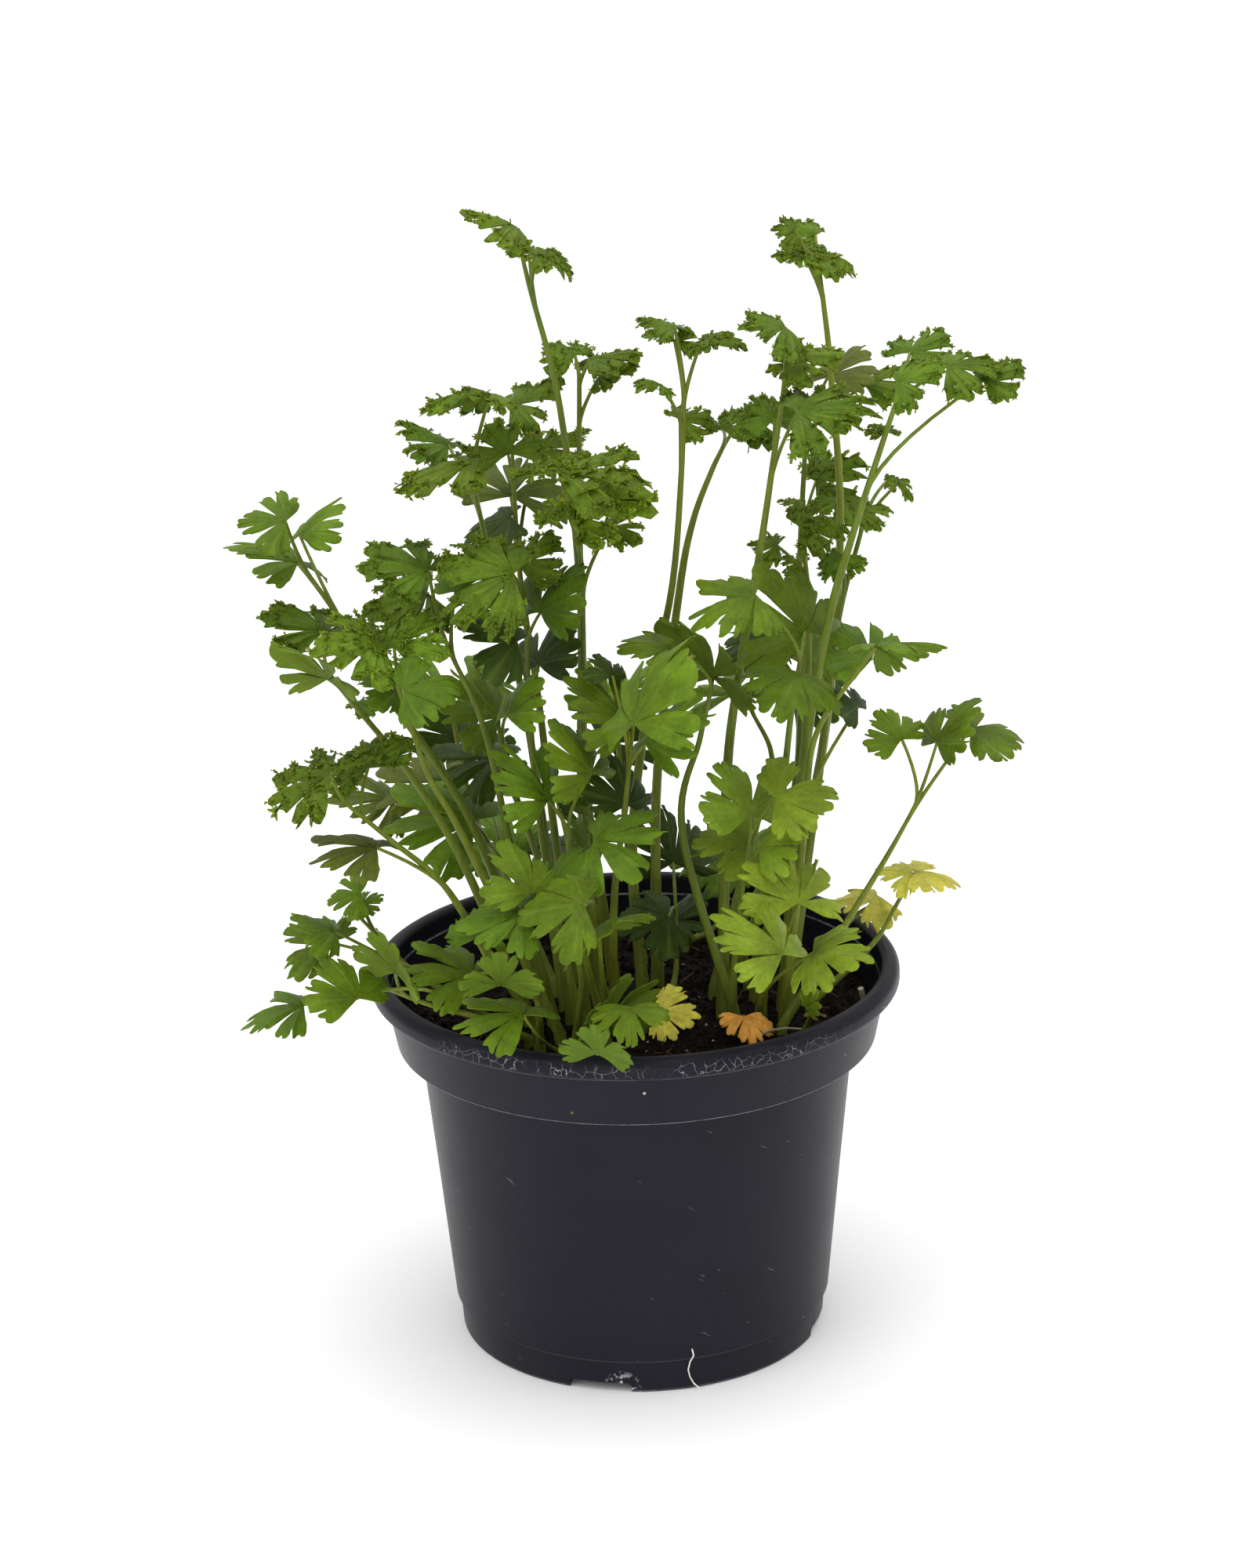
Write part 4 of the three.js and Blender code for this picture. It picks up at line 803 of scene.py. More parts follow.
def frond_paths(way, heads, rng):
    """The bare paths and points of one frond."""
    foot = Vector((way[0][0], way[0][1], SOIL_TOP + STRAIGHT_ABOVE_SOIL))
    points = [foot] + [Vector(p) for p in way[1:]]
    stalk = [curve_point(points, i / PATH_STEPS) for i in range(PATH_STEPS + 1)]
    length = sum((b - a).length for a, b in zip(stalk, stalk[1:]))
    radius = FOOT_RADIUS_MIN + length * FOOT_RADIUS_PER_MM
    paths = Paths()
    foot_tint = shifted(STALK_FOOT_COLOUR, rng, FOOT_VARIETY)
    stalk_tint = shifted(STALK_COLOUR, rng, STALK_VARIETY)
    for order, (x, y, z, bearing, pitch, roll, size, kind) in enumerate(heads):
        heel = Vector((x, y, z))
        if order == 0:
            start, along = stalk[-1], (stalk[-1] - stalk[-2]).normalized()
            below = Vector((foot.x, foot.y, STALK_START))
            path = [below] + stalk + twig_path(start, along, heel, TWIG_STEPS)[1:]
            radii = [radius * SUNK_SWELL]
            radii += [radius * (1 + (FORK_THINNING - 1) * (i / PATH_STEPS) ** THINNING_CURVE)
                      for i in range(PATH_STEPS + 1)]
            radii += list(np.linspace(radius * FORK_THINNING, HEEL_RADIUS, TWIG_STEPS + 1)[1:])
        else:
            start, along = stalk[PATH_STEPS // 2], Vector((0, 0, 1))
            for i in range(SEARCH_STEPS, SEARCH_STEPS // 4, -1):
                point = curve_point(points, i / SEARCH_STEPS)
                if heel.z - point.z >= STEEPNESS * (heel.xy - point.xy).length - 1:
                    t = i / SEARCH_STEPS - order * TWIG_SPACING / length
                    start = curve_point(points, t)
                    along = (start - curve_point(points, t - BACK_STEP)).normalized()
                    break
            path = twig_path(start, along, heel, TWIG_STEPS)
            radii = np.linspace(TWIG_RADIUS, HEEL_RADIUS, TWIG_STEPS + 1)
        tints = []
        for point in path:
            u = min(max((point.z - SOIL_TOP) / PALE_FOOT, 0), 1)
            tints.append([a * (1 - u) + b * u for a, b in zip(foot_tint, stalk_tint)])
        paths.stalk(path, radii, tints)
    for x, y, z, bearing, pitch, roll, size, kind in heads:
        mossy = kind == "b" or kind == "c" and rng.random() < MOSSY_SHARE
        group = 2 * (2 if mossy else 1 if kind == "c" else 0) + (size >= WIDE_HEAD)
        number = group * VARIANTS + int(rng.integers(VARIANTS))
        tint = shifted(LEAF_COLOURS_AND_SHADE[kind], rng, LEAF_VARIETY)
        paths.head((x, y, z), bearing, pitch, roll, size, number, tint)
    return paths


# %% Grow every frond
def grow(name, paths, seed, bend=2.6 * MM):
    """Turns the bare paths and points into a piece with stalks and leaves."""
    item = show(name, paths.mesh(name))
    bake(item, FROND_TREE, {
        "Blades": blades, "Blade finish": BLADE_FINISH, "Stalk finish": STALK_FINISH,
        "Stalk ribs": 8, "Rib depth": 0.1, "Bend": bend, "Bend size": 90.0, "Seed": seed * 1.7,
    })
    return item


leaf_triangles = 0
for order, (name, way, heads) in enumerate(FRONDS):
    rng = np.random.default_rng(100 + order)
    piece = grow(f"leafy_{name}", frond_paths(way, heads, rng), order)
    leaf_triangles += sum(len(p.vertices) - 2 for p in piece.data.polygons)
    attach(piece, "root")
    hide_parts(f"frond_{name}")
print("leafy pieces", len(FRONDS), "triangles", leaf_triangles)


# %% [markdown]
# ## The pot
# A nursery pot is injection-moulded from soft black plastic in one shot: a fat rolled rim to carry
# it by, a collar under the rim so that pots don't jam in a stack, a tapered body, and a foot ring
# with notches that let the water out. It could be a cylinder scaled at its rings, but a profile
# turned about the axis gives every rounding its true radius, so the rim catches the light as the
# moulded one does.

# %% Turned shapes
def band(low, high):
    """The faces between two rings of points, of which one may be a single point."""
    count = max(len(low), len(high))
    for k in range(count):
        m = (k + 1) % count
        if len(low) == 1:
            yield low[0], high[m], high[k]
        elif len(high) == 1:
            yield low[k], low[m], high[0]
        else:
            yield low[k], low[m], high[m], high[k]


def turned(name, profile, sides):
    """Turns a profile of (radius, z) in millimetres about the axis, where it starts and ends."""
    verts, rings = [], []
    for radius, z in profile:
        count = sides if radius else 1
        rings.append(range(len(verts), len(verts) + count))
        for k in range(count):
            angle = 2 * math.pi * k / sides
            verts.append((radius * math.cos(angle) * MM, radius * math.sin(angle) * MM, z * MM))
    mesh = bpy.data.meshes.new(name)
    faces = [face for low, high in zip(rings, rings[1:]) for face in band(low, high)]
    mesh.from_pydata(verts, [], faces)
    close_mesh(mesh)
    return show(name, mesh)


def arc(centre, radius, start, end, steps):
    """Points of a profile along a rounding, from one angle to another in degrees."""
    return [(centre[0] + radius * math.cos(math.radians(start + (end - start) * i / steps)),
             centre[1] + radius * math.sin(math.radians(start + (end - start) * i / steps)))
            for i in range(steps + 1)]


# %% Pot
POT_SIDES = 168
# the wall from the middle of the floor out, up to the rolled rim, and down again inside
outside = [(0, 0), (37.1, 0)] + arc((37.1, 0.5), 0.5, -90, 0, 3)
outside += [(38.5, 2.6), (39, 3), (44.1, 3), (44.6, 2.6), (45.3, 0.4), (45.7, 0)]
outside += arc((48.7, 0.6), 0.6, -90, -5, 4) + [(49.9, 8.6)]
outside += arc((50.4, 9.4), 0.5, 190, 100, 3)[1:]
outside += [(50.95, 9.75), (51.0, 10.4), (54.4, 46), (57.95, 81.6), (58.1, 82.4), (58.5, 82.8)]
outside += arc((63.6, 83.5), 0.6, -90, -10, 4) + [(66.9, 97.0), (67.05, 97.35), (67.5, 97.5)]
outside += arc((69.2, 98.8), 1.3, -85, 0, 5)
outside += arc((67.6, 100.1), 2.9, 0, 90, 9)[1:] + arc((67.3, 101.2), 1.8, 92, 168, 6)
inside = [(65.5, 100), (62.8, 85.4), (62.4, 84.7), (61.9, 84.4), (57.4, 84.2), (56.7, 83.9)]
inside += [(56.4, 83.2), (47.9, 6), (47.4, 5.0), (46.6, 4.6), (37, 4.6), (36, 4.2), (35.2, 2.2)]
inside += [(34.5, 1.6), (0, 1.6)]
pot = turned("nursery_pot", outside + inside, POT_SIDES)


def cut(item, drill):
    """Takes the drill away from the piece."""
    knife = item.modifiers.new("cut", "BOOLEAN")
    knife.object = drill
    knife.solver = "EXACT"
    freeze(item)
    bpy.data.objects.remove(drill)


def shaped(name, build):
    """An object with the mesh that build draws."""
    shell = bmesh.new()
    build(shell)
    mesh = bpy.data.meshes.new(name)
    shell.to_mesh(mesh)
    shell.free()
    return show(name, mesh)


# two counts, the first notch's bearing in degrees, and lengths in millimetres
NOTCHES, FIRST_NOTCH, NOTCH_RADIUS = 4, -104, 47
NOTCH_LENGTH, NOTCH_WIDTH, NOTCH_HEIGHT, NOTCH_ROUNDING = 8, 17, 5.4, 1.2
DRAIN_HOLES, DRAIN_RING, DRAIN_RADIUS, DRAIN_MIDDLE, DRAIN_LENGTH = 6, 41.5, 2.6, 3, 9


def notch_block(shell):
    for vert in bmesh.ops.create_cube(shell, size=1)["verts"]:
        x, y, z = vert.co
        vert.co = Vector((NOTCH_RADIUS + x * NOTCH_LENGTH, y * NOTCH_WIDTH, z * NOTCH_HEIGHT)) * MM
    along = [e for e in shell.edges
             if all(abs(e.verts[0].co[i] - e.verts[1].co[i]) < 1e-6 for i in (1, 2))]
    bmesh.ops.bevel(shell, geom=along, offset=NOTCH_ROUNDING * MM, segments=3, affect="EDGES",
                    profile=0.5)


def bore_rod(shell):
    bmesh.ops.create_cone(shell, cap_ends=True, segments=24, radius1=DRAIN_RADIUS * MM,
                          radius2=DRAIN_RADIUS * MM, depth=DRAIN_LENGTH * MM)


for i in range(NOTCHES):
    block = shaped("notch", notch_block)
    turn = Euler((0, 0, math.radians(FIRST_NOTCH + 360 * i / NOTCHES)))
    block.data.transform(turn.to_matrix().to_4x4())
    cut(pot, block)
for i in range(DRAIN_HOLES):
    bore = shaped("bore", bore_rod)
    angle = 2 * math.pi * (i + 0.5) / DRAIN_HOLES
    for vert in bore.data.vertices:
        vert.co += Vector((DRAIN_RING * math.cos(angle), DRAIN_RING * math.sin(angle), DRAIN_MIDDLE)) * MM
    cut(pot, bore)
print("pot faces", len(pot.data.polygons))


# %% [markdown]
# ### Moulded plastic with a worn rim
# The pot is polypropylene coloured with carbon black and a breath of violet. It was moulded in a
# fine-textured tool, so it is satin, not glossy. The rim is where it has been bent and knocked:
# a web of hairline cracks shows white in the dark plastic, and a pale line along the lower edges of
# lip and collar is partly scuffs and partly a painted highlight. A faint painted highlight also runs
# along the step above the foot. The cracks are the borders of a cell pattern 3 mm wide, held to the
# lip by height and broken up by noise. Faint slanting scratches are scattered over the body.

# %% Pot finish
def pot_material():
    material = new_material("moulded_polypropylene")
    tree = material.node_tree
    place = add(tree, "ShaderNodeTexCoord").outputs["Object"]
    split = add(tree, "ShaderNodeSeparateXYZ", Vector=place)
    z = split.outputs["Z"]
    level = add(tree, "ShaderNodeCombineXYZ", X=split.outputs["X"], Y=split.outputs["Y"])
    radius = add(tree, "ShaderNodeVectorMath", {"operation": "LENGTH"}, _0=level.outputs[0])

    def all_of(*masks):
        """The mask that holds where every one of these does."""
        whole = masks[0]
        for mask in masks[1:]:
            whole = add(tree, "ShaderNodeMath", {"operation": "MULTIPLY"}, _0=whole, _1=mask).outputs[0]
        return whole

    def between(low, high, soft):
        """1 where the height is between low and high, fading over a soft width."""
        ends = [add(tree, "ShaderNodeMapRange", {"interpolation_type": "SMOOTHSTEP"}, Value=z,
                    From_Min=edge - soft, From_Max=edge + soft, To_Min=1.0 - at, To_Max=at).outputs[0]
                for edge, at in ((low, 1.0), (high, 0.0))]
        return all_of(*ends)

    def near(spot, reach, soft):
        """1 close to the spot, fading to 0 past the reach."""
        away = add(tree, "ShaderNodeVectorMath", {"operation": "DISTANCE"}, _0=place, _1=spot)
        return add(tree, "ShaderNodeMapRange", Value=away.outputs["Value"], From_Min=reach - soft,
                   From_Max=reach + soft, To_Min=1.0, To_Max=0.0).outputs[0]

    # noise patterns: a fine grain, clouds 2 cm wide, and four that break up the wear and the painted
    # highlight. Each of those is 0 below its first limit and 1 above its second
    grain = add(tree, "ShaderNodeTexNoise", Vector=place, Scale=2200.0, Detail=2.0)
    cloud = add(tree, "ShaderNodeTexNoise", Vector=place, Scale=45.0, Detail=4.0)
    slant = add(tree, "ShaderNodeMapping", {"vector_type": "TEXTURE"}, Vector=place, Rotation=(0, 0.6, 0),
                Scale=(0.008, 0.008, 0.0011))
    broken = []
    for where, scale, detail, low, high in (
        (place, 60.0, 3.0, 0.4, 0.5), (place, 420.0, 4.0, 0.25, 0.55), (place, 900.0, 4.0, 0.52, 0.62),
        (slant.outputs[0], 1.0, 3.0, 0.72, 0.76),
    ):
        pattern = add(tree, "ShaderNodeTexNoise", Vector=where, Scale=scale, Detail=detail)
        broken.append(add(tree, "ShaderNodeMapRange", Value=pattern.outputs["Fac"], From_Min=low,
                          From_Max=high).outputs[0])
    patchy, ragged, frosty, scratched = broken
    # hairline cracks: borders of cells 3 mm wide, bent by noise, on the front of the lip
    bend = add(tree, "ShaderNodeTexNoise", Vector=place, Scale=260.0, Detail=3.0)
    bent = add(tree, "ShaderNodeVectorMath", {"operation": "MULTIPLY_ADD"}, _0=bend.outputs["Color"],
               _1=(0.004, 0.004, 0.004), _2=place)
    cells = add(tree, "ShaderNodeTexVoronoi", {"feature": "DISTANCE_TO_EDGE"}, Vector=bent.outputs[0],
                Scale=340.0)
    border = add(tree, "ShaderNodeMapRange", Value=cells.outputs["Distance"], From_Min=0.004,
                 From_Max=0.018, To_Min=1.0, To_Max=0.0)
    front = add(tree, "ShaderNodeMapRange", Value=split.outputs["Y"], From_Min=-0.042, From_Max=-0.062)
    crack = all_of(border.outputs[0], patchy, between(0.0984, 0.1015, 0.0006), front.outputs[0])
    # pale lines along the lower edge of the lip and of the collar, partly scuffs and partly a painted
    # highlight, and scuffs along the foot
    outer = add(tree, "ShaderNodeMath", {"operation": "GREATER_THAN"}, _0=radius.outputs["Value"],
                _1=0.0575)
    edges = add(tree, "ShaderNodeMath", {"operation": "MAXIMUM"}, _0=between(0.0973, 0.0977, 0.00025),
                _1=between(0.0827, 0.0831, 0.00025))
    scuff_and_highlight_line = all_of(edges.outputs[0], ragged, outer.outputs[0])
    foot = all_of(between(-0.001, 0.0006, 0.0004), ragged)
    # a faint painted highlight along the step 9 mm above the floor
    painted_step_highlight = between(0.009, 0.0094, 0.0003)
    # two stuck specks of 0.8 mm, and a frosty film of dried root hairs at the front drain notch
    specks = [near(spot, 0.0004, 0.0002)
              for spot in ((0.0015, -0.0657, 0.0926), (-0.0168, -0.0622, 0.0862))]
    frost = all_of(frosty, near((-0.006, -0.0495, 0.0012), 0.0034, 0.002))

    base = add(tree, "ShaderNodeMix", {"data_type": "RGBA"}, _0=cloud.outputs["Fac"],
               _6=linear("#17161d"), _7=linear("#201f28"))
    worn = base.outputs[2]
    # scratches are slanting, 8 mm long and 1 mm wide at most
    for mask, tone, strength in (
        (scratched, "#8a8792", 0.4), (scuff_and_highlight_line, "#c4c3ca", 0.75), (foot, "#8d8b93", 0.4),
        (painted_step_highlight, "#8d8b93", 0.18), (crack, "#c9c9ce", 0.52), (specks[0], "#dedede", 0.9),
        (specks[1], "#9a7a52", 0.8), (frost, "#e6e6ea", 0.85),
    ):
        worn = add(tree, "ShaderNodeMix", {"data_type": "RGBA"}, _0=all_of(mask, strength),
                   _6=worn, _7=linear(tone)).outputs[2]
    dull = add(tree, "ShaderNodeMapRange", Value=cloud.outputs["Fac"], To_Min=0.33, To_Max=0.43)
    skin = add(tree, "ShaderNodeMath", {"operation": "MULTIPLY_ADD"}, _0=crack, _1=-1.5,
               _2=grain.outputs["Fac"])
    bump = add(tree, "ShaderNodeBump", Strength=0.18, Distance=0.0002, Height=skin.outputs[0])
    shader = add(tree, "ShaderNodeBsdfPrincipled", Base_Color=worn, Roughness=dull.outputs[0],
                 IOR=1.49, Specular_IOR_Level=0.12, Normal=bump.outputs[0])
    return finish_material(material, shader)


SHARP_ANGLE = math.radians(40)
pot.data.materials.clear()
pot.data.materials.append(pot_material())
pot.data.shade_smooth()
pot.data.set_sharp_from_angle(angle=SHARP_ANGLE)
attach(pot, "root")
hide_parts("pot")


# %% [markdown]
# ## The soil
# Potting soil is peat with bark crumbs, fibres and a few white grains of perlite. A flat disc would
# look like paint, and modelling each crumb by hand would never end. A bumpy disc gives the big
# lumps. A node tree then strews crumbs of several sizes over it, and the rest is in the finish.

# %% Soil body
SOIL_RADIUS = 63.0
SOIL_RINGS = 42
SOIL_SIDES = 150
SOIL_EDGE = SOIL_TOP - 1.2
SOIL_MEAN = SOIL_TOP - 0.4


def lumps(x, y):
    """Height of the soil above its level, in millimetres."""
    spot = Vector((x, y, 0))
    height = noise.fractal(spot / 17, 1.0, 2.0, 3) * 1.5
    height += noise.noise(spot / 4.5 + Vector((7, 3, 1))) * 0.9
    height += noise.noise(spot / 1.8 + Vector((2, 9, 4))) * 0.45
    return height


def soil_body():
    profile = [(0, 2.0), (34.3, 2.0), (35.8, 4.9), (47.0, 5.0), (47.6, 6.4), (56.0, 84.2), (61.9, 84.8),
               (62.3, 85.6), (SOIL_RADIUS, SOIL_EDGE), (0, SOIL_EDGE)]
    item = turned("potting_soil_body", profile, SOIL_SIDES)
    shell = bmesh.new()
    shell.from_mesh(item.data)
    top = [f for f in shell.faces if all(v.co.z > (SOIL_TOP - 2) * MM for v in f.verts)]
    bmesh.ops.delete(shell, geom=top, context="FACES")
    rim = sorted((v for v in shell.verts if abs(v.co.z - SOIL_EDGE * MM) < 1e-6 and v.link_faces),
                 key=lambda v: math.atan2(v.co.y, v.co.x))
    rings = [rim]
    for r in range(1, SOIL_RINGS):
        radius = SOIL_RADIUS * (1 - r / SOIL_RINGS)
        ring = []
        for vert in rim:
            angle = math.atan2(vert.co.y, vert.co.x)
            x, y = radius * math.cos(angle), radius * math.sin(angle)
            ring.append(shell.verts.new((x * MM, y * MM, (SOIL_MEAN + lumps(x, y)) * MM)))
        rings.append(ring)
    rings.append([shell.verts.new((0, 0, (SOIL_TOP + lumps(0, 0)) * MM))])
    for outer, inner in zip(rings, rings[1:]):
        for face in band(outer, inner):
            shell.faces.new(face)
    bmesh.ops.delete(shell, geom=[v for v in shell.verts if not v.link_faces], context="VERTS")
    bmesh.ops.recalc_face_normals(shell, faces=shell.faces)
    shell.to_mesh(item.data)
    shell.free()
    item.data.shade_smooth()
    return item


# %% Soil finishes
def soil_material():
    material = new_material("moist_peat")
    tree = material.node_tree
    place = add(tree, "ShaderNodeTexCoord").outputs["Object"]
    lump = add(tree, "ShaderNodeTexNoise", Vector=place, Scale=300.0, Detail=5.0, Roughness=0.65)
    fleck = add(tree, "ShaderNodeTexVoronoi", Vector=place, Scale=420.0)
    pale = add(tree, "ShaderNodeMapRange", Value=fleck.outputs["Distance"], From_Min=0.1, From_Max=0.16,
               To_Min=1.0, To_Max=0.0)
    rare = add(tree, "ShaderNodeTexNoise", Vector=place, Scale=130.0, Detail=1.0)
    rare = add(tree, "ShaderNodeMapRange", Value=rare.outputs["Fac"], From_Min=0.62, From_Max=0.66)
    amount = add(tree, "ShaderNodeMath", {"operation": "MULTIPLY"}, _0=pale.outputs[0],
                 _1=rare.outputs[0])
    base = add(tree, "ShaderNodeValToRGB", Fac=lump.outputs["Fac"])
    for stop, position, tone in zip(base.color_ramp.elements, (0.32, 0.72), ("#050302", "#1e140d")):
        stop.position, stop.color = position, linear(tone)
    tone = add(tree, "ShaderNodeMix", {"data_type": "RGBA"}, _0=amount.outputs[0],
               _6=base.outputs[0], _7=linear("#b9b2a4"))
    bump = add(tree, "ShaderNodeBump", Strength=0.9, Distance=0.0008, Height=lump.outputs["Fac"])
    shader = add(tree, "ShaderNodeBsdfPrincipled", Base_Color=tone.outputs[2], Roughness=0.85,
                 Specular_IOR_Level=0.1, Normal=bump.outputs[0])
    return finish_material(material, shader)


def grain_material(name, low, high, roughness):
    """A crumb's finish: one of two close tones, with a rough skin."""
    material = new_material(name)
    tree = material.node_tree
    place = add(tree, "ShaderNodeTexCoord").outputs["Object"]
    mix = add(tree, "ShaderNodeTexNoise", Vector=place, Scale=500.0, Detail=3.0)
    tone = add(tree, "ShaderNodeMix", {"data_type": "RGBA"}, _0=mix.outputs["Fac"], _6=linear(low),
               _7=linear(high))
    bump = add(tree, "ShaderNodeBump", Strength=0.6, Distance=0.0004, Height=mix.outputs["Fac"])
    shader = add(tree, "ShaderNodeBsdfPrincipled", Base_Color=tone.outputs[2], Roughness=roughness,
                 Specular_IOR_Level=0.12, Normal=bump.outputs[0])
    return finish_material(material, shader)


SOIL_FINISH = soil_material()
CRUMB_FINISH = grain_material("peat_crumb", "#080504", "#241910", 0.9)
PERLITE_FINISH = grain_material("perlite_grain", "#a8a294", "#d9d5cb", 0.8)
FIBRE_FINISH = grain_material("coir_fibre", "#4a3322", "#8a6a48", 0.8)

# %% Strewing tree
def strew_tree():
    tree, start = node_tree("strew", Ground="Geometry", Grain="Object", Density="Float", Smallest="Float",
                            Largest="Float", Sink="Float", Reach="Float", Seed="Int", Finish="Material")
    # only the upper side of the soil, and only as far out as the reach
    normal = add(tree, "GeometryNodeInputNormal")
    upward = add(tree, "ShaderNodeSeparateXYZ", Vector=normal.outputs[0])
    spot = add(tree, "GeometryNodeInputPosition")
    split = add(tree, "ShaderNodeSeparateXYZ", Vector=spot.outputs[0])
    level = add(tree, "ShaderNodeCombineXYZ", X=split.outputs["X"], Y=split.outputs["Y"])
    radius = add(tree, "ShaderNodeVectorMath", {"operation": "LENGTH"}, _0=level.outputs[0])
    chosen = True
    for more, less in ((split.outputs["Z"], (SOIL_TOP - 3) * MM), (upward.outputs["Z"], 0.3),
                       (start["Reach"], radius.outputs["Value"])):
        test = add(tree, "FunctionNodeCompare", {"data_type": "FLOAT", "operation": "GREATER_THAN"},
                   _0=more, _1=less)
        chosen = add(tree, "FunctionNodeBooleanMath", {"operation": "AND"}, _0=chosen,
                     _1=test.outputs[0]).outputs[0]
    seeds = add(tree, "GeometryNodeDistributePointsOnFaces", Mesh=start["Ground"], Selection=chosen,
                Density=start["Density"], Seed=start["Seed"])
    size = add(tree, "FunctionNodeRandomValue", {"data_type": "FLOAT"}, _2=start["Smallest"],
               _3=start["Largest"], Seed=start["Seed"])
    turn = add(tree, "FunctionNodeRandomValue", {"data_type": "FLOAT_VECTOR"}, _0=(-3.1, -3.1, -3.1),
               _1=(3.1, 3.1, 3.1), Seed=start["Seed"])
    turn = add(tree, "FunctionNodeEulerToRotation", _0=turn.outputs[0])
    shape = add(tree, "GeometryNodeObjectInfo", Object=start["Grain"])
    grains = add(tree, "GeometryNodeInstanceOnPoints", Points=seeds.outputs[0],
                 Instance=shape.outputs["Geometry"], Rotation=turn.outputs[0], Scale=size.outputs[1])
    real = add(tree, "GeometryNodeRealizeInstances", Geometry=grains.outputs[0])
    drop = add(tree, "ShaderNodeCombineXYZ", Z=start["Sink"])
    low = add(tree, "GeometryNodeSetPosition", Geometry=real.outputs[0], Offset=drop.outputs[0])
    done = add(tree, "GeometryNodeSetMaterial", Geometry=low.outputs[0], Material=start["Finish"])
    add(tree, "NodeGroupOutput", Geometry=done.outputs[0])
    return tree


STREW_TREE = strew_tree()


def draw_lump(shell, seed, stretch):
    """Draws a small faceted lump with a radius of about 1."""
    bmesh.ops.create_icosphere(shell, subdivisions=1, radius=1)
    for vert in shell.verts:
        vert.co *= 0.75 + 0.5 * noise.noise(vert.co * 1.3 + Vector((seed, 0, 0)))
        vert.co.x *= stretch


def draw_fibre(shell, seed, stretch):
    """Draws a crooked fibre with a radius of about a half."""
    bmesh.ops.create_cone(shell, cap_ends=True, segments=4, radius1=0.5, radius2=0.35, depth=2)
    upright = [e for e in shell.edges if abs(e.verts[0].co.z - e.verts[1].co.z) > 1]
    bmesh.ops.subdivide_edges(shell, edges=upright, cuts=4, use_grid_fill=True)
    # without a seed, this noise would be another one in each run
    noise.seed_set(seed)
    for vert in shell.verts:
        bow = noise.noise_vector(Vector((seed, vert.co.z * 0.9, 3))) * 1.6
        vert.co = Vector((vert.co.x + bow.x, vert.co.y + bow.y, vert.co.z * stretch))


soil = soil_body()
soil.data.materials.append(SOIL_FINISH)
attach(soil, "root")
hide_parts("soil")
# what draws the grain, its seed and stretch; how many there are to a square metre; in millimetres,
# their smallest and largest size, how far they rise, and how far out they lie; a seed and the finish
for name, draw, seed, stretch, density, smallest, largest, sink, reach, strewn, finish in (
    ("soil_crumbs", draw_lump, 3, 1.2, 260000.0, 0.35, 1.15, 0.0, 62, 4, CRUMB_FINISH),
    ("soil_bark", draw_lump, 8, 1.9, 22000.0, 0.9, 1.9, -0.2, 60, 9, CRUMB_FINISH),
    ("soil_perlite", draw_lump, 5, 1.1, 4200.0, 0.3, 0.8, 0.1, 61, 21, PERLITE_FINISH),
    ("soil_fibres", draw_fibre, 2, 14, 9000.0, 0.16, 0.42, 0.3, 56, 33, FIBRE_FINISH),
):
    grain = shaped("grain", lambda shell: draw(shell, seed, stretch))
    item = show(name, soil.data.copy())
    bake(item, STREW_TREE, {
        "Grain": grain, "Density": density, "Smallest": smallest * MM, "Largest": largest * MM,
        "Sink": sink * MM, "Reach": reach * MM, "Seed": strewn, "Finish": finish,
    })
    bpy.data.objects.remove(grain)
    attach(item, "root")
    print(name, "faces", len(item.data.polygons))


# %% [markdown]
# ## Fallen leaves and litter
# Two dead leaves lie on the soil: a yellow one, still soft, and an orange one that has dried and
# curled up off it. Around them lie a cut stalk end, two dry leaf stalks and four brown scraps of
# leaf. A pale root has come out through the foot of the pot and dried against it. All of these are
# blades and paths of the kinds above, so the same tree grows them.

# %% Lying pieces
def lying(name, twigs, leaves, seed, bend):
    """Grows loose twigs (points, radius, colour) and leaves (heel, bearing, pitch, roll, length,
    blade, colour) as one piece."""
    paths = Paths()
    for path, radius, colour in twigs:
        paths.stalk(path, [radius] * len(path), [linear(colour)] * len(path))
    for *form, colour in leaves:
        paths.head(*form, linear(colour))
    piece = grow(name, paths, seed, bend)
    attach(piece, "root")
    return piece


FALLEN_STALK = 7
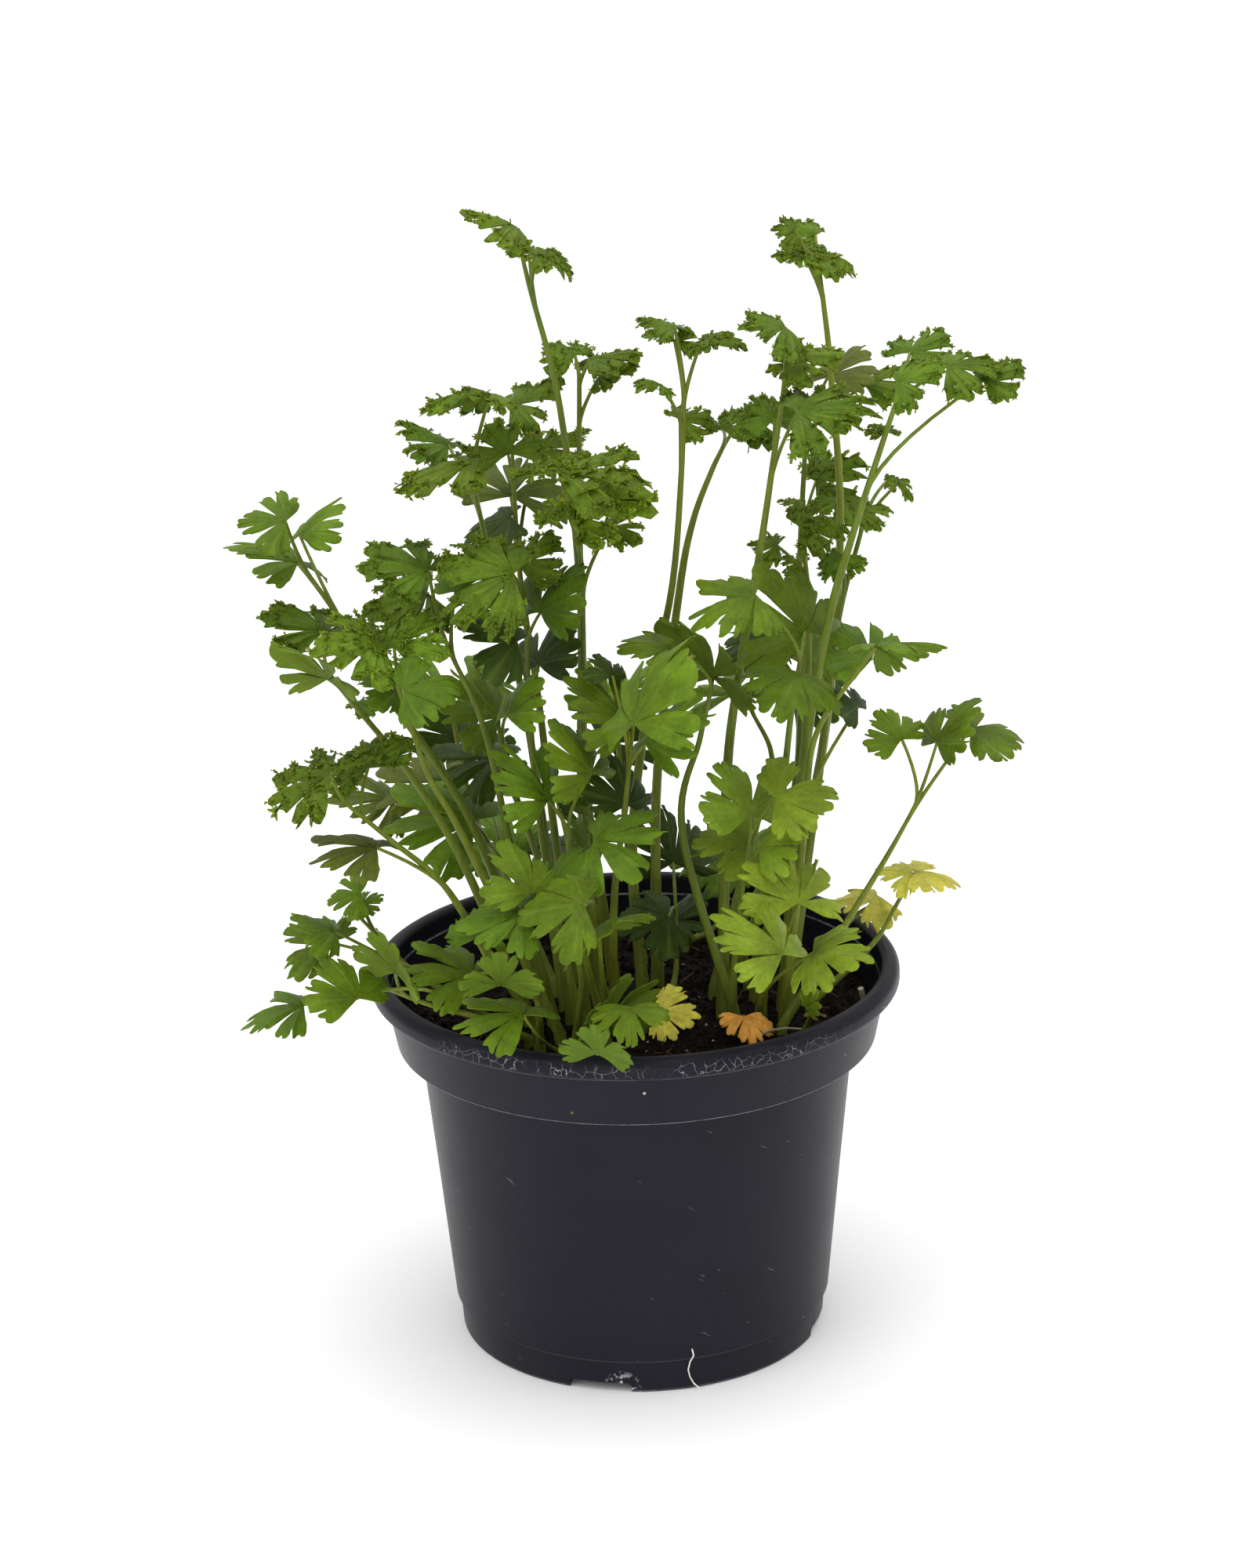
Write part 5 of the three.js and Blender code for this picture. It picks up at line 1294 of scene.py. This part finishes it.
# for each fallen leaf: lift of the heel, pitch, extra roll, length against the solid's, blade, bend,
# and the colour of its stalk
FALLEN_FORMS = [(2.0, 6, 18, 1.0, 1, 2.0 * MM, "#c7b45a"), (5.0, -34, 0, 0.95, 2, 4.5 * MM, "#a8702e")]
for order, (name, (x, y), bearing, roll, size, colour) in enumerate(FALLEN):
    lift, pitch, more_roll, share, number, bend, stalk = FALLEN_FORMS[order]
    low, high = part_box(name)
    heel = Vector((x, y, (low[2] + high[2]) / 2 / MM + lift))
    angle = math.radians(bearing)
    back = Vector((-math.cos(angle), -math.sin(angle), -0.12 - 0.06 * lift)) * FALLEN_STALK
    path = [heel + back * i / 5 for i in range(5, -1, -1)]
    leaf = (heel, bearing, pitch, roll + more_roll, size * share, number, colour)
    piece = lying(f"lying_{name}", [(path, 0.5, stalk)], [leaf], 60 + order, bend)
    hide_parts(name)

LITTER_TWIGS = [
    ([(60.6, -7, 91), (60.3, -7.6, 93.5), (59.6, -8.6, 96.5)], 0.8, "#b9b59c"),
    ([(31, -33, 93.5), (35, -30.5, 94.2), (39, -28, 93.6), (43, -26, 92.4)], 0.35, "#8f8f72"),
    ([(-8, -40, 92), (-4, -43, 93), (1, -44, 92.3)], 0.3, "#7d7350"),
]
LITTER_LEAVES = [
    ((-42, -14, 92.6), 60, 12, 20, 5, 0, "#a8622a"), ((3, -7, 92.8), 30, 20, 10, 6, 3, "#8a4a1c"),
    ((-30, -36, 92.4), 200, 8, 0, 4, 1, "#8a7a30"), ((48, -16, 92.4), 110, 10, 15, 4, 2, "#6f6428"),
]
litter = lying("soil_litter", LITTER_TWIGS, LITTER_LEAVES, 70, 1.5 * MM)

ROOT_WAY = [(12.5, -49.8, 12.6), (12.9, -49.6, 10.6), (11.9, -49.3, 8.6), (11.4, -48.9, 6.2),
            (11.8, -48.7, 4.0), (12.8, -48.7, 2.0), (14.4, -48.6, 0.4)]
root_thread = lying("root_thread", [(ROOT_WAY, 0.2, "#e4e1d8")], [], 71, 0.0)

# %% Clear away the patterns
for item in list(blades.objects):
    bpy.data.objects.remove(item)
bpy.data.collections.remove(blades)
